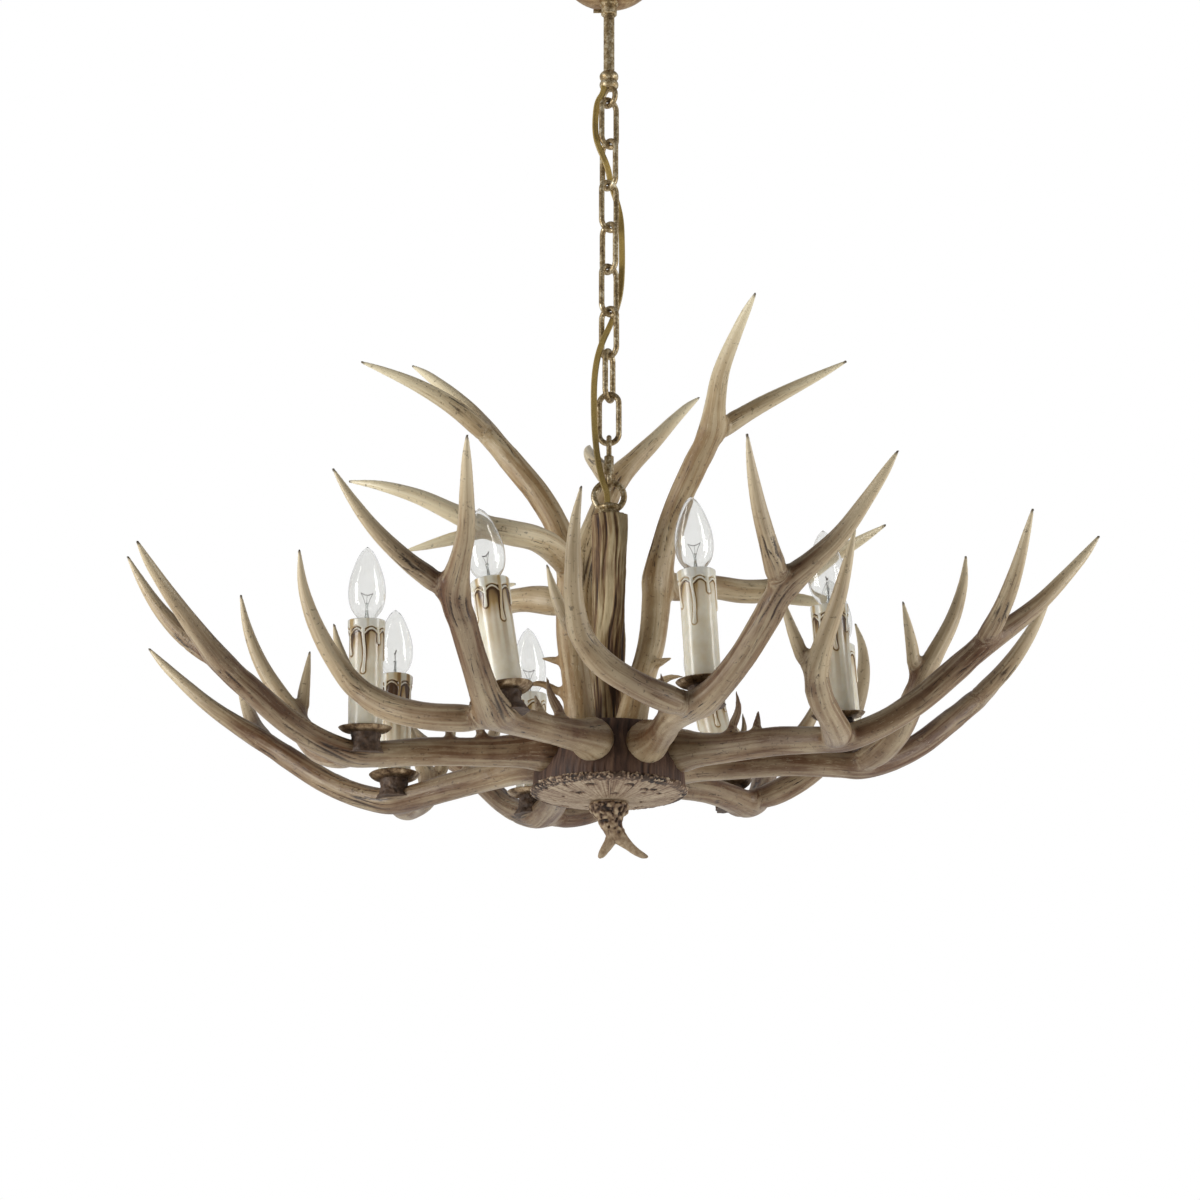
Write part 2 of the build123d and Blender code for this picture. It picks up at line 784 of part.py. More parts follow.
# ---------------------------------------------------------------- lamp lead
points = [Vector(*p) for p in cord_route]
bends = []
for before, corner, after in zip(points, points[1:], points[2:]):
    run_in, run_out = corner - before, after - corner
    turn = radians(run_in.get_angle(run_out))
    bends.append(0.45 * min(run_in.length, run_out.length) / tan(turn / 2))
with BuildPart() as lamp_cord:
    with BuildLine() as route:
        FilletPolyline(*cord_route, radius=bends)
    route_wire = route.wires()[0]
    with BuildSketch(Plane(origin=route_wire @ 0, z_dir=route_wire % 0)):
        Circle(cord_radius)
    sweep(path=route_wire)
save(lamp_cord.part, "lamp_cord")

cord_section = 3.14159265 * cord_radius**2
print("cord radii mm:", [round(b) for b in bends])
print(f"cord length {route_wire.length:.1f} mm")
print(f"cord volume over section times length {lamp_cord.part.volume / cord_section / route_wire.length:.4f}")
print(f"hub foot {hub_foot:.1f}  lowest about {hub_foot - finial_drop:.1f}")
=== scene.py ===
# %% [markdown]
# # An antler chandelier on its chain
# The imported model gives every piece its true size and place. This notebook dresses it: carved
# antlers, candle sleeves with wax, clear lamps, a patinated chain and the lead threaded through it.
# We work in metres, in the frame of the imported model, with +Z up and the front at -Y.

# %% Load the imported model
import itertools
import json
import math
import bpy
import numpy as np
from mathutils import Matrix, Vector


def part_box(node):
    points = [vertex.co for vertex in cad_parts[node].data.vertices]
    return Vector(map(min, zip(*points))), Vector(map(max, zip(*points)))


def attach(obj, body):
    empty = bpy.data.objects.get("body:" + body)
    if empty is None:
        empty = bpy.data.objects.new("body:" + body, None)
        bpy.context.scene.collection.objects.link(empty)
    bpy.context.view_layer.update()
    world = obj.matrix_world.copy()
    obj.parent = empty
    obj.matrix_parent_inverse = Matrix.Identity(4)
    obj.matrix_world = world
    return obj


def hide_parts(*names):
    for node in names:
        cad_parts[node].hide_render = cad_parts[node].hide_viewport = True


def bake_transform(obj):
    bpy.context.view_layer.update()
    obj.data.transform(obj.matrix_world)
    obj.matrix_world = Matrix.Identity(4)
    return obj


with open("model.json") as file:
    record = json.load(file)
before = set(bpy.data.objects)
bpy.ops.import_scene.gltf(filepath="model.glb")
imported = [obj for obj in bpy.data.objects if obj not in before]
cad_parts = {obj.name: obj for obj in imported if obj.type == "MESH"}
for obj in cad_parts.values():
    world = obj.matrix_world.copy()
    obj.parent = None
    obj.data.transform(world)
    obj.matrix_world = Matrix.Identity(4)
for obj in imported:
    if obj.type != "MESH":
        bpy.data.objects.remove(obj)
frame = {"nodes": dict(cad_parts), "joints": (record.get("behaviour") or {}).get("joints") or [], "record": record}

MM = 0.001
scene = bpy.context.scene
nodes = frame["nodes"]
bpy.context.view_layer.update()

# %% [markdown]
# The photograph looks slightly up at the fixture, through a long lens. The camera stands in front
# and below and tilts up. Its small sideways shift puts the chain right of the middle.

# %% Camera
CAMERA_DISTANCE = 3.006
CAMERA_BELOW_HUB = 0.6661
CAMERA_TILT = 15.91
LENS = 97.83
SENSOR_WIDTH = 36
RIM_HEIGHT = 0.006
HUB_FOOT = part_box("hub_drum")[0].z - RIM_HEIGHT
IMAGE_WIDTH = 1200
CHAIN_OFF_CENTRE = 9

camera_data = bpy.data.cameras.new("camera")
camera_data.sensor_width = SENSOR_WIDTH
camera_data.lens = LENS
camera_data.shift_x = -CHAIN_OFF_CENTRE / IMAGE_WIDTH
camera = bpy.data.objects.new("camera", camera_data)
camera.location = (0, -CAMERA_DISTANCE, HUB_FOOT - CAMERA_BELOW_HUB)
camera.rotation_euler = (math.radians(90 + CAMERA_TILT), 0, 0)
scene.collection.objects.link(camera)
scene.camera = camera
print("camera height", round(camera.location.z, 4))

# %% [markdown]
# Every piece that we model starts as a grid of rings. One helper turns rows of points into a mesh,
# with quads between neighbouring rings, so tubes and candles come from the same few lines.

# %% Grids of rings become meshes
def place(name, mesh, matrix=None):
    piece = bpy.data.objects.new(name, mesh)
    scene.collection.objects.link(piece)
    if matrix is not None:
        piece.matrix_world = matrix
    return piece


def evaluated_mesh(thing):
    """The mesh of an object with its spline or modifiers worked out. The object itself goes."""
    bpy.context.view_layer.update()
    mesh = bpy.data.meshes.new_from_object(thing.evaluated_get(bpy.context.evaluated_depsgraph_get()))
    bpy.data.objects.remove(thing)
    return mesh


def ring_mesh(name, rows, cap_start=False, cap_end=False):
    """rows has the shape (rings, points in a ring, 3), in millimetres."""
    rows = np.asarray(rows, float)
    rings, around, _ = rows.shape
    corners = rows.reshape(-1, 3) * MM
    faces = []
    for i in range(rings - 1):
        for j in range(around):
            k = (j + 1) % around
            faces.append((i * around + j, i * around + k, (i + 1) * around + k, (i + 1) * around + j))
    if cap_start:
        faces.append(tuple(reversed(range(around))))
    if cap_end:
        faces.append(tuple(range((rings - 1) * around, rings * around)))
    mesh = bpy.data.meshes.new(name)
    mesh.from_pydata(corners.tolist(), [], faces)
    mesh.polygons.foreach_set("use_smooth", [len(f) == 4 for f in faces])
    mesh.update()
    return mesh


def full_turn(count):
    return np.linspace(0, 2 * np.pi, count, endpoint=False)


def turned(profile, around):
    """Rings round the z axis from pairs of radius and height."""
    return np.array([[(r * math.cos(a), r * math.sin(a), z) for a in full_turn(around)]
                     for r, z in profile])


def steps(line):
    """The distances from each point of a line to the next."""
    return np.linalg.norm(np.diff(line, axis=0), axis=1)


def set_attribute(mesh, name, kind, values):
    layer = mesh.attributes.new(name, kind, "POINT")
    key = {"FLOAT": "value", "FLOAT_VECTOR": "vector", "FLOAT_COLOR": "color"}[kind]
    layer.data.foreach_set(key, np.asarray(values, np.float32).ravel())


def clamp(values):
    return np.clip(values, 0, 1)


def fade(values, start, span):
    """0 up to the start, 1 from the start plus the span on, and even between them."""
    return clamp((values - start) / span)


print("helpers ready")

# %% [markdown]
# Cast antler and wax are never regular. This value noise puts a number on every corner of a
# lattice and blends smoothly between them, so the same points always give the same bumps. We use
# it to push vertices, which a shader's bump can't do to an outline.

# %% Noise for carving
LATTICE_PRIMES = np.array((73856093, 19349663, 83492791))
SCRAMBLER = 1274126177
SEED_STEP = 6271


def noise(points, seed):
    """A value from -1 to 1 for each point, in a table of any shape with x, y and z last."""
    cell = np.floor(points).astype(np.int64)
    part = points - cell
    part = part * part * (3 - 2 * part)
    total = np.zeros(points.shape[:-1])
    for corner in itertools.product((0, 1), repeat=3):
        code = np.bitwise_xor.reduce((cell + np.array(corner)) * LATTICE_PRIMES, axis=-1)
        code ^= seed * SEED_STEP + 17
        code = (code ^ (code >> 13)) * SCRAMBLER & 0xFFFFFFFF
        value = ((code ^ (code >> 16)) & 0xFFFF) / 32767.5 - 1
        total += value * np.prod(np.where(np.array(corner) == 1, part, 1 - part), axis=-1)
    return total


def rough_noise(points, seed, octaves):
    return sum(noise(points * 2**k, seed + k) / 2**k for k in range(octaves))


print("noise beside the origin", round(float(noise(np.full((1, 3), 0.3), 0)[0]), 3))

# %% [markdown]
# A finish is a small tree of shader nodes. These helpers keep each one short: colours are written
# as they look on a screen and changed to the linear values that the renderer works in.

# %% Helpers for finishes
WHITE = (1, 1, 1, 1)
NUMBER_SHIFT = (3.7, 6.1, 8.3)


def tone(*red_green_blue):
    linear = [((c / 255 + 0.055) / 1.055) ** 2.4 if c > 10 else c / 255 / 12.92 for c in red_green_blue]
    return (*linear, 1.0)


class Nodes:
    """A node tree and the few calls that fill it."""

    def __init__(self, tree):
        self.tree = tree

    def set(self, node, sockets):
        for key, value in sockets.items():
            socket = node.inputs[key.replace("_", " ") if isinstance(key, str) else key]
            if isinstance(value, bpy.types.NodeSocket):
                self.tree.links.new(value, socket)
            else:
                socket.default_value = value

    def node(self, kind, props=None, **sockets):
        made = self.tree.nodes.new("ShaderNode" + kind)
        for key, value in (props or {}).items():
            setattr(made, key, value)
        self.set(made, sockets)
        return made

    def attribute(self, name, output="Vector"):
        return self.node("Attribute", {"attribute_name": name}).outputs[output]

    def object_points(self):
        return self.node("TexCoord").outputs["Object"]

    def numbered(self, vector):
        """The same coordinates, moved a different way for each numbered casting."""
        number = self.node("ObjectInfo").outputs["Object Index"]
        move = self.node("VectorMath", {"operation": "SCALE"}, Vector=NUMBER_SHIFT, Scale=number)
        made = self.node("VectorMath", {"operation": "ADD"})
        self.set(made, {0: vector, 1: move.outputs[0]})
        return made.outputs[0]

    def stretched(self, vector, scale):
        return self.node("Mapping", Vector=vector, Scale=scale).outputs["Vector"]

    def grain(self, vector, scale, detail=4.0, roughness=0.6, distortion=0.0):
        return self.node("TexNoise", Vector=vector, Scale=scale, Detail=detail, Roughness=roughness,
                         Distortion=distortion).outputs["Fac"]

    def ramp(self, value, *stops):
        made = self.node("ValToRGB", Fac=value)
        elements = made.color_ramp.elements
        while len(elements) < len(stops):
            elements.new(0.5)
        for element, (position, colour) in zip(elements, stops):
            element.position = position
            element.color = colour
        return made.outputs["Color"]

    def level(self, value, low, high, dark=0.0, light=1.0):
        return self.node("MapRange", Value=value, From_Min=low, From_Max=high, To_Min=dark,
                         To_Max=light).outputs["Result"]

    def mix(self, share, first, second):
        made = self.node("Mix", {"data_type": "RGBA"})
        self.set(made, {0: share, 6: first, 7: second})
        return made.outputs[2]

    def math(self, kind, first, second):
        made = self.node("Math", {"operation": kind, "use_clamp": True})
        self.set(made, {0: first, 1: second})
        return made.outputs[0]

    def times(self, value, *factors):
        for factor in factors:
            value = self.math("MULTIPLY", value, factor)
        return value


class Finish(Nodes):
    """One material with its shader."""

    def __init__(self, name, **sockets):
        self.material = bpy.data.materials.new(name)
        self.material.use_nodes = True
        super().__init__(self.material.node_tree)
        self.shader = self.tree.nodes["Principled BSDF"]
        self.set(self.shader, sockets)

    def bump(self, height, strength, distance):
        made = self.node("Bump", Height=height, Strength=strength, Distance=distance)
        self.set(self.shader, {"Normal": made.outputs["Normal"]})


def two_tone(name, scale, dark, light, **sockets):
    """A material of two close tones, mixed by one grain."""
    f = Finish(name, **sockets)
    colour = f.ramp(f.grain(f.object_points(), scale), (0.3, tone(*dark)), (0.7, tone(*light)))
    f.set(f.shader, {"Base Color": colour})
    return f.material


def dress(piece, material):
    piece.data.materials.clear()
    piece.data.materials.append(material)


print("tone of mid grey", round(tone(128, 128, 128)[0], 3))

# %% [markdown]
# The lead is a flat two-core flex that hangs beside the chain and is threaded through some of its
# links. The route is the CAD one, drawn as one NURBS spline. Because the chain swings, the flex is
# cut at the middle of each link, one length across each chain joint.

# %% The lead's line
LEAD_ROUTE = (
    (-4.7, -4.2, -138), (-4.7, -4.2, -148), (-11.8, -2.6, -157.5), (-13.6, -0.8, -174),
    (-13.8, -2.6, -190), (-11.4, -6, -206), (-1.2, 1, -226), (1.8, 9.6, -242),
    (7.7, 13.6, -258), (12, 12.6, -278), (12.8, 10.5, -304), (13, 9.6, -332),
    (11.5, 11, -358), (5.4, 12.9, -380), (-0.8, 2.4, -399), (-6.5, -4.8, -414),
    (-11.5, -8.8, -432), (-14.4, -9.2, -454), (-14.8, -8.4, -478), (-14.2, -7.4, -502),
    (-12.4, -7, -526), (-8.8, -7.4, -548), (-4.8, -8, -563), (-1.4, -6.6, -571),
    (-1.4, -6.6, -580.5),
)
LEAD_WIDTH = 6.2
SPLINE_STEPS = 10


def spline_points(name, route):
    """The smooth line of a NURBS curve through the route, as points read back from Blender."""
    curve = bpy.data.curves.new(name, "CURVE")
    curve.dimensions = "3D"
    curve.resolution_u = SPLINE_STEPS
    spline = curve.splines.new("NURBS")
    spline.points.add(len(route) - 1)
    for point, place_mm in zip(spline.points, route):
        point.co = (*(c * MM for c in place_mm), 1)
    spline.order_u = 3
    spline.use_endpoint_u = True
    line = evaluated_mesh(place(name, curve))
    return np.array([v.co for v in line.vertices]) / MM


lead_line = spline_points("lead_guide", LEAD_ROUTE)
print("lead", len(lead_line), "points,", round(steps(lead_line).sum(), 1), "mm")

# %% [markdown]
# The cut heights lie halfway between the joints. The joints' own heights come from the record, so
# a new pack with other links moves the cuts with it.

# %% The lead's lengths, one across each chain joint
CORE_RADIUS = 1.6
CORE_DEPTH = 1.65
GROOVE_DEPTH = 0.32
GROOVE_WIDTH = 0.28
TWIST, TWIST_RUN = 0.25, 45
CLOSE = 0.05
chain_joints = [j for j in frame["joints"] if j["type"] == "hinge"]
joint_heights = [j["pos_m"][2] / MM for j in chain_joints]
cuts = [lead_line[0][2]]
cuts += [(a + b) / 2 for a, b in zip(joint_heights, joint_heights[1:])]
cuts.append(lead_line[-1][2])


def between(line, high, low):
    """The part of the line between two heights, with its ends exactly there."""
    def at(height):
        k = int(np.argmax(line[:, 2] <= height + 1e-6))
        if k == 0:
            return line[0]
        share = (line[k - 1][2] - height) / (line[k - 1][2] - line[k][2])
        return line[k - 1] + share * (line[k] - line[k - 1])
    inner = line[(line[:, 2] < high - CLOSE) & (line[:, 2] > low + CLOSE)]
    return np.vstack([at(high), inner, at(low)])


def flex_rows(path, full_line):
    """Rings of a two-core flex: two round cores with a groove between them, flat side forward."""
    turn = full_turn(24)
    wide = (LEAD_WIDTH / 2 - CORE_RADIUS) * np.tanh(4 * np.cos(turn)) + CORE_RADIUS * np.cos(turn)
    groove = GROOVE_DEPTH * np.exp(-((np.cos(turn) / GROOVE_WIDTH) ** 2))
    deep = CORE_DEPTH * np.sin(turn) * (1 - groove)
    slopes = np.gradient(full_line, axis=0)
    rows = []
    for point in path:
        near = np.argmin(np.linalg.norm(full_line - point, axis=1))
        along = slopes[near] / np.linalg.norm(slopes[near])
        side = np.array((1.0, TWIST * math.sin(point[2] / TWIST_RUN), 0.0))
        side -= along * side.dot(along)
        side /= np.linalg.norm(side)
        front = np.cross(along, side)
        rows.append([point + side * w + front * d for w, d in zip(wide, deep)])
    return rows


flex = two_tone("gold flex", 900.0, (152, 124, 58), (196, 170, 102), Roughness=0.32, IOR=1.48,
                Coat_Weight=0.35, Coat_Roughness=0.25)
for number, (joint, high, low) in enumerate(zip(chain_joints, cuts, cuts[1:]), 1):
    path = between(lead_line, high, low)
    mesh = ring_mesh(f"lead_length_{number}", flex_rows(path, lead_line), number == 1,
                     number == len(chain_joints))
    piece = place(f"lead_length_{number}", mesh)
    dress(piece, flex)
    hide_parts("lamp_cord")
    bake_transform(piece)

# %% [markdown]
# The studio is a pale floor far below, a tall soft light on the left, a weaker one on the right,
# and a white surround. The surround is brighter below than above and brighter behind the fixture
# than in front, as among lit white walls. So edges are pale and the front faces keep their brown.
# It lights less than the camera sees of it, directly or through the lamps' glass. The floor glows
# a little, which makes it as white as the surround.

# %% Studio
LIGHT_FROM_ABOVE = 0.24
LIGHT_FROM_BELOW = 0.46
LIGHT_FROM_FRONT = 0.54
LIGHT_FROM_BEHIND = 1.62
UPWARD_FADE = (-0.6, 0.7)
BACKWARD_FADE = (-0.7, 0.6)
LIGHT_AIM = Vector((0, 0, -0.75))
FLOOR_HEIGHT = -7.6
FLOOR_REACH = 4.6
FLOOR_GLOW = 0.74

world = bpy.data.worlds.new("surround")
scene.world = world
world.use_nodes = True
sky = Nodes(world.node_tree)
toward = sky.node("SeparateXYZ", Vector=sky.node("TexCoord").outputs["Generated"]).outputs
upward = sky.level(toward["Z"], *UPWARD_FADE, LIGHT_FROM_BELOW, LIGHT_FROM_ABOVE)
backward = sky.level(toward["Y"], *BACKWARD_FADE, LIGHT_FROM_FRONT, LIGHT_FROM_BEHIND)
lighting = sky.tree.nodes["Background"]
sky.set(lighting, {"Color": WHITE, "Strength": sky.times(upward, backward)})
seen = sky.node("Background", Color=WHITE, Strength=1.0)
rays = sky.node("LightPath").outputs
in_view = sky.math("MAXIMUM", rays["Is Camera Ray"], rays["Is Transmission Ray"])
either = sky.node("MixShader")
sky.set(either, {0: in_view, 1: lighting.outputs[0], 2: seen.outputs[0]})
sky.set(sky.tree.nodes["World Output"], {"Surface": either.outputs[0]})


def soft_light(name, location, width, height, power):
    data = bpy.data.lights.new(name, "AREA")
    data.shape = "RECTANGLE"
    data.size = width
    data.size_y = height
    data.energy = power
    lamp = place(name, data)
    lamp.location = location
    aim = LIGHT_AIM - Vector(location)
    lamp.rotation_euler = aim.to_track_quat("-Z", "Y").to_euler()


soft_light("key_light", (-2.3, -1.1, -0.85), width=0.8, height=2.0, power=46)
soft_light("fill_light", (2.2, -0.6, -0.9), width=0.5, height=1.9, power=26)

floor_mesh = bpy.data.meshes.new("floor")
square = ((-1, -1), (1, -1), (1, 1), (-1, 1))
floor_mesh.from_pydata([(x * FLOOR_REACH, y * FLOOR_REACH, 0) for x, y in square], [], [(0, 1, 2, 3)])
floor = place("floor", floor_mesh)
floor.location.z = FLOOR_HEIGHT
dress(floor, two_tone("pale floor", 3.0, (222, 221, 218), (230, 229, 226), Roughness=0.9,
                      Emission_Color=WHITE, Emission_Strength=FLOOR_GLOW))
scene.view_settings.view_transform = "Standard"
print("studio lit")

# %% [markdown]
# All eleven antlers are castings from one mould, turned and tilted a little differently. The mould
# is described by its branches: the beam, an outer prong, a big side branch with a short tine, and
# two thorns. Each station gives a point of the branch's middle line and the half widths there, one
# across and one upward, or a single one where they are the same.

# %% The mould's branches
BEAM = (
    (0, 6, 3, 18.5, 19.5), (13, 6, 3, 20, 20.5), (28, 4, 2, 16, 17), (60, -4, 0, 13.5, 14),
    (121, -22, -1, 13, 13.5), (155, -28, -4, 16, 12.5), (182, -30, -6, 19, 12.5),
    (215, -26, 2, 14, 12), (252, -20, 20, 12), (288, -14, 45, 12, 11.5),
    (319, -8, 68, 14, 11), (338, 6, 82, 9.5), (358, 21, 98, 8), (388, 37, 127, 6),
    (407, 47, 148, 3.8), (417, 53, 161, 1.2),
)
OUTER_PRONG = (
    (304, -10, 57, 9, 8), (324, -20, 74, 10, 9), (343, -36, 92, 8.5),
    (365, -56, 122, 6.6), (381, -69, 152, 4), (391, -76, 173, 1.2),
)
SIDE_BRANCH = (
    (170, -26, -6, 10, 9), (186, -56, -4, 14, 12), (196, -98, 7, 12),
    (198, -129, 24, 12), (202, -147, 42, 12, 11), (215, -159, 66, 9),
    (233, -167, 98, 7.2), (247, -169, 134, 4.6), (255, -165, 163, 1.2),
)
SHORT_TINE = (
    (199, -143, 36, 8), (193, -157, 62, 6.6), (187, -165, 90, 4.2),
    (183, -168, 113, 1.1),
)
HOOKED_THORN = (
    (60, -3, 4, 9, 6), (69, -5, 20, 6, 4.4), (77, -8, 36, 3.4, 2.8), (76, -9, 51, 0.9),
)
SMALL_THORN = ((92, -13, 6, 8, 5), (97, -15, 20, 3.6, 3), (99, -16, 30, 0.9))
MOULD = (BEAM, OUTER_PRONG, SIDE_BRANCH, SHORT_TINE, HOOKED_THORN, SMALL_THORN)
print(len(MOULD), "branches,", sum(len(b) for b in MOULD), "stations")

# %% [markdown]
# Between the stations a smooth curve fills in a ring every few millimetres. A small frame travels
# along with it without twisting, so the rings line up and a groove can follow the branch.

# %% From stations to a smooth branch
THINNEST = 0.8
END_REACH = 3
END_STARTS = 0.6
PROFILE_LENGTH = 70


def distance(points, targets):
    """How far each point is from its nearest target."""
    return np.linalg.norm(points[:, None] - targets[None], axis=2).min(axis=1)


class Branch:
    """A branch's middle line, its frame and its half widths, every few millimetres."""

    def __init__(self, stations, step=3.0):
        knots = np.array([(*station, station[-1])[:5] for station in stations], float)
        chord = np.r_[0, np.cumsum(steps(knots[:, :3]))]
        fine = np.linspace(0, chord[-1], max(int(chord[-1] / step), 6))
        slopes = np.gradient(knots, chord, axis=0)
        k = np.clip(np.searchsorted(chord, fine, "right") - 1, 0, len(chord) - 2)
        span = (chord[k + 1] - chord[k])[:, None]
        t = (fine - chord[k])[:, None] / span
        a, b, m, n = knots[k], knots[k + 1], slopes[k] * span, slopes[k + 1] * span
        smooth = (2 * t**3 - 3 * t**2 + 1) * a + (t**3 - 2 * t**2 + t) * m
        smooth += (3 * t**2 - 2 * t**3) * b + (t**3 - t**2) * n
        self.centre = smooth[:, :3]
        self.half = np.maximum(smooth[:, 3:], THINNEST)
        self.run = np.r_[0, np.cumsum(steps(self.centre))]
        self.along = np.gradient(self.centre, axis=0)
        self.along /= np.linalg.norm(self.along, axis=1)[:, None]
        side = np.cross((0, 0, 1.0), self.along[0])
        if np.linalg.norm(side) < 0.1:
            side = np.array((0, 1.0, 0))
        self.side = []
        for direction in self.along:
            side = side - direction * side.dot(direction)
            side = side / np.linalg.norm(side)
            self.side.append(side)
        self.side = np.array(self.side)
        self.up = np.cross(self.along, self.side)

    def rows(self, around=40):
        turn = full_turn(around)
        return [[c + s * h[0] * math.cos(a) + u * h[1] * math.sin(a) for a in turn]
                for c, s, u, h in zip(self.centre, self.side, self.up, self.half)]

    def measure(self, points):
        """How far out of the branch each point is (1 on its skin), its angle and its run along."""
        gap = np.linalg.norm(points[:, None] - self.centre[None], axis=2)
        near = gap.argmin(axis=1)
        off = points - self.centre[near]
        x = (off * self.side[near]).sum(1)
        y = (off * self.up[near]).sum(1)
        z = (off * self.along[near]).sum(1)
        wide, high = self.half[near].T
        beyond = np.abs(z) / np.maximum(wide, END_REACH)
        out = np.hypot(np.hypot(x / wide, y / high), np.where(beyond > END_STARTS, beyond, 0))
        return out, np.arctan2(y, x), self.run[near] + z


def smooth_profile(corners, fineness=7):
    """A smooth line through pairs of radius and height."""
    line = Branch([(r, 0, z, 1) for r, z in corners], PROFILE_LENGTH / (fineness * len(corners)))
    return [(max(p[0], 0.1), p[2]) for p in line.centre]


branches = [Branch(stations) for stations in MOULD]
print("beam length", round(branches[0].run[-1]), "mm")

# %% [markdown]
# Where branches meet, a real antler has no seam. We get that in two steps: a voxel remesh fuses
# the tubes into one skin, and rounds of smoothing, strongest at the forks, web them together. The
# tips are left almost alone, since smoothing eats thin points.

# %% Fuse the branches into one skin
VOXEL = 1.5
FORK_WIDTH = 0.45
EVEN_SHARE, EVEN_ROUNDS = 0.5, 4
WEB_SHARE, WEB_ROUNDS = 0.9, 60
SPREAD_ROUNDS = 30


def fused(name, parts, voxel):
    """One closed skin round several closed tubes."""
    corners, faces = [], []
    for part in parts:
        mesh = ring_mesh("tube", part.rows(), True, True)
        start = len(corners)
        corners += [tuple(v.co) for v in mesh.vertices]
        faces += [tuple(start + i for i in p.vertices) for p in mesh.polygons]
        bpy.data.meshes.remove(mesh)
    mesh = bpy.data.meshes.new(name)
    mesh.from_pydata(corners, [], faces)
    rough = place(name, mesh)
    remesh = rough.modifiers.new("fuse", "REMESH")
    remesh.mode = "VOXEL"
    remesh.voxel_size = voxel * MM
    skin = evaluated_mesh(rough)
    skin.name = name
    skin.polygons.foreach_set("use_smooth", [True] * len(skin.polygons))
    return skin


def read_table(items, key, width, kind=np.float32):
    """One property of all the vertices or edges of a mesh."""
    table = np.empty(len(items) * width, kind)
    items.foreach_get(key, table)
    return table.reshape(-1, width)


def read_points(mesh):
    return read_table(mesh.vertices, "co", 3).astype(float) / MM


def surface_normals(mesh):
    return read_table(mesh.vertex_normals, "vector", 3).astype(float)


def neighbours(mesh):
    return read_table(mesh.edges, "vertices", 2, np.int32)


def write_points(mesh, points):
    mesh.vertices.foreach_set("co", (points * MM).astype(np.float32).ravel())
    mesh.update()


def relax(points, ends, share, rounds):
    """Moves each point towards the middle of its neighbours; share may differ from point to point."""
    count = np.bincount(ends.ravel(), minlength=len(points))[:, None]
    for _ in range(rounds):
        total = np.zeros_like(points)
        np.add.at(total, ends[:, 0], points[ends[:, 1]])
        np.add.at(total, ends[:, 1], points[ends[:, 0]])
        points = points + share[:, None] * (total / count - points)
    return points


antler_mesh = fused("antler_casting", branches, VOXEL)
points = read_points(antler_mesh)
ends = neighbours(antler_mesh)
tips = np.array([b.centre[-1] for b in branches])
tip_gap = distance(points, tips)
outs = np.sort([b.measure(points)[0] for b in branches], axis=0)
fork = np.exp(-(((outs[1] - outs[0]) / FORK_WIDTH) ** 2)) * fade(tip_gap, 12, 20)
points = relax(points, ends, EVEN_SHARE * np.clip(tip_gap / 30, 0.05, 1), EVEN_ROUNDS)
points = relax(points, ends, WEB_SHARE * fork, WEB_ROUNDS)
fork = relax(fork[:, None], ends, np.full(len(fork), 0.5), SPREAD_ROUNDS)[:, 0]
print(len(points), "points in the casting")

# %% [markdown]
# Long gutters run with the branch, deep on the beam and gone at the polished tips, and little
# pearls crowd near the butt. Each point gets coordinates that run round and along its branch,
# blended where branches meet. Noise in those coordinates is stretched lengthwise, and it carves
# the gutters and later colours them.

# %% Carve gutters and pearls
GUTTER_DEPTH, GUTTER_SPACING, GUTTER_WIDTH = 1.15, 4.6, 0.26
PEARL_HEIGHT, PEARL_SIZE = 0.5, 2.6
SWELL_HEIGHT, SWELL_SIZE = 0.7, np.array((9.0, 9.0, 2.6))
WANDER_WIDTH, WANDER_RUN = 2.6, 26
PATCH_SIZE = 40
BUTT_LENGTH = 60
TIP_LENGTH = 50
LONG_BRANCHES = 4
GRAIN_RADIUS = 12
LENGTH_SQUEEZE = 30


def branch_grain(points):
    """Points round and along the branches, in millimetres, with the length squeezed."""
    measured = [b.measure(points) for b in branches]
    out = np.array([m[0] + 0.9 * (k > 0) * clamp(1 - m[2] / 34) for k, m in enumerate(measured)])
    weight = np.exp(-7 * (out - out.min(axis=0)))
    weight /= weight.sum(axis=0)
    grain = np.zeros_like(points)
    for w, (_, turn, run) in zip(weight, measured):
        grain += w[:, None] * np.c_[GRAIN_RADIUS * np.cos(turn), GRAIN_RADIUS * np.sin(turn),
                                    run / LENGTH_SQUEEZE]
    return grain


grain = branch_grain(points)
wander = np.c_[noise(points / WANDER_RUN, 3), noise(points / WANDER_RUN, 4), np.zeros(len(points))]
winding = grain + wander * WANDER_WIDTH
bands = rough_noise(winding / GUTTER_SPACING, 11, 2)
gutter = clamp(1 - np.abs(bands) / GUTTER_WIDTH) ** 1.5
swell = noise(winding / SWELL_SIZE, 21)
grown = fade(tip_gap, 8, 90)
butt = np.exp(-np.clip(points[:, 0], 0, None) / BUTT_LENGTH)
pearls = clamp(noise(points / PEARL_SIZE, 31) - 0.1) * clamp(butt * 1.3 + 0.3 * fork)
patch = clamp(0.5 + 1.8 * noise(points / PATCH_SIZE, 25))
gutter *= grown * (0.06 + 0.94 * patch) * np.clip((points[:, 0] - 28) / 40, 0.15, 1)
carve = swell * SWELL_HEIGHT * grown - GUTTER_DEPTH * gutter + PEARL_HEIGHT * pearls
write_points(antler_mesh, points)
points = points + surface_normals(antler_mesh) * carve[:, None]
write_points(antler_mesh, points)
tine_gap = distance(points, tips[:LONG_BRANCHES])
near_tip = np.exp(-tine_gap / TIP_LENGTH)
# Stain near the hub, raised on faces that point up in the mould: that rise is painted shade on the upper sides.
hub_stain_and_top_shade = fade(tine_gap, 38, 110) * (1.05 + 0.35 * surface_normals(antler_mesh)[:, 2])
set_attribute(antler_mesh, "grain", "FLOAT_VECTOR", grain)
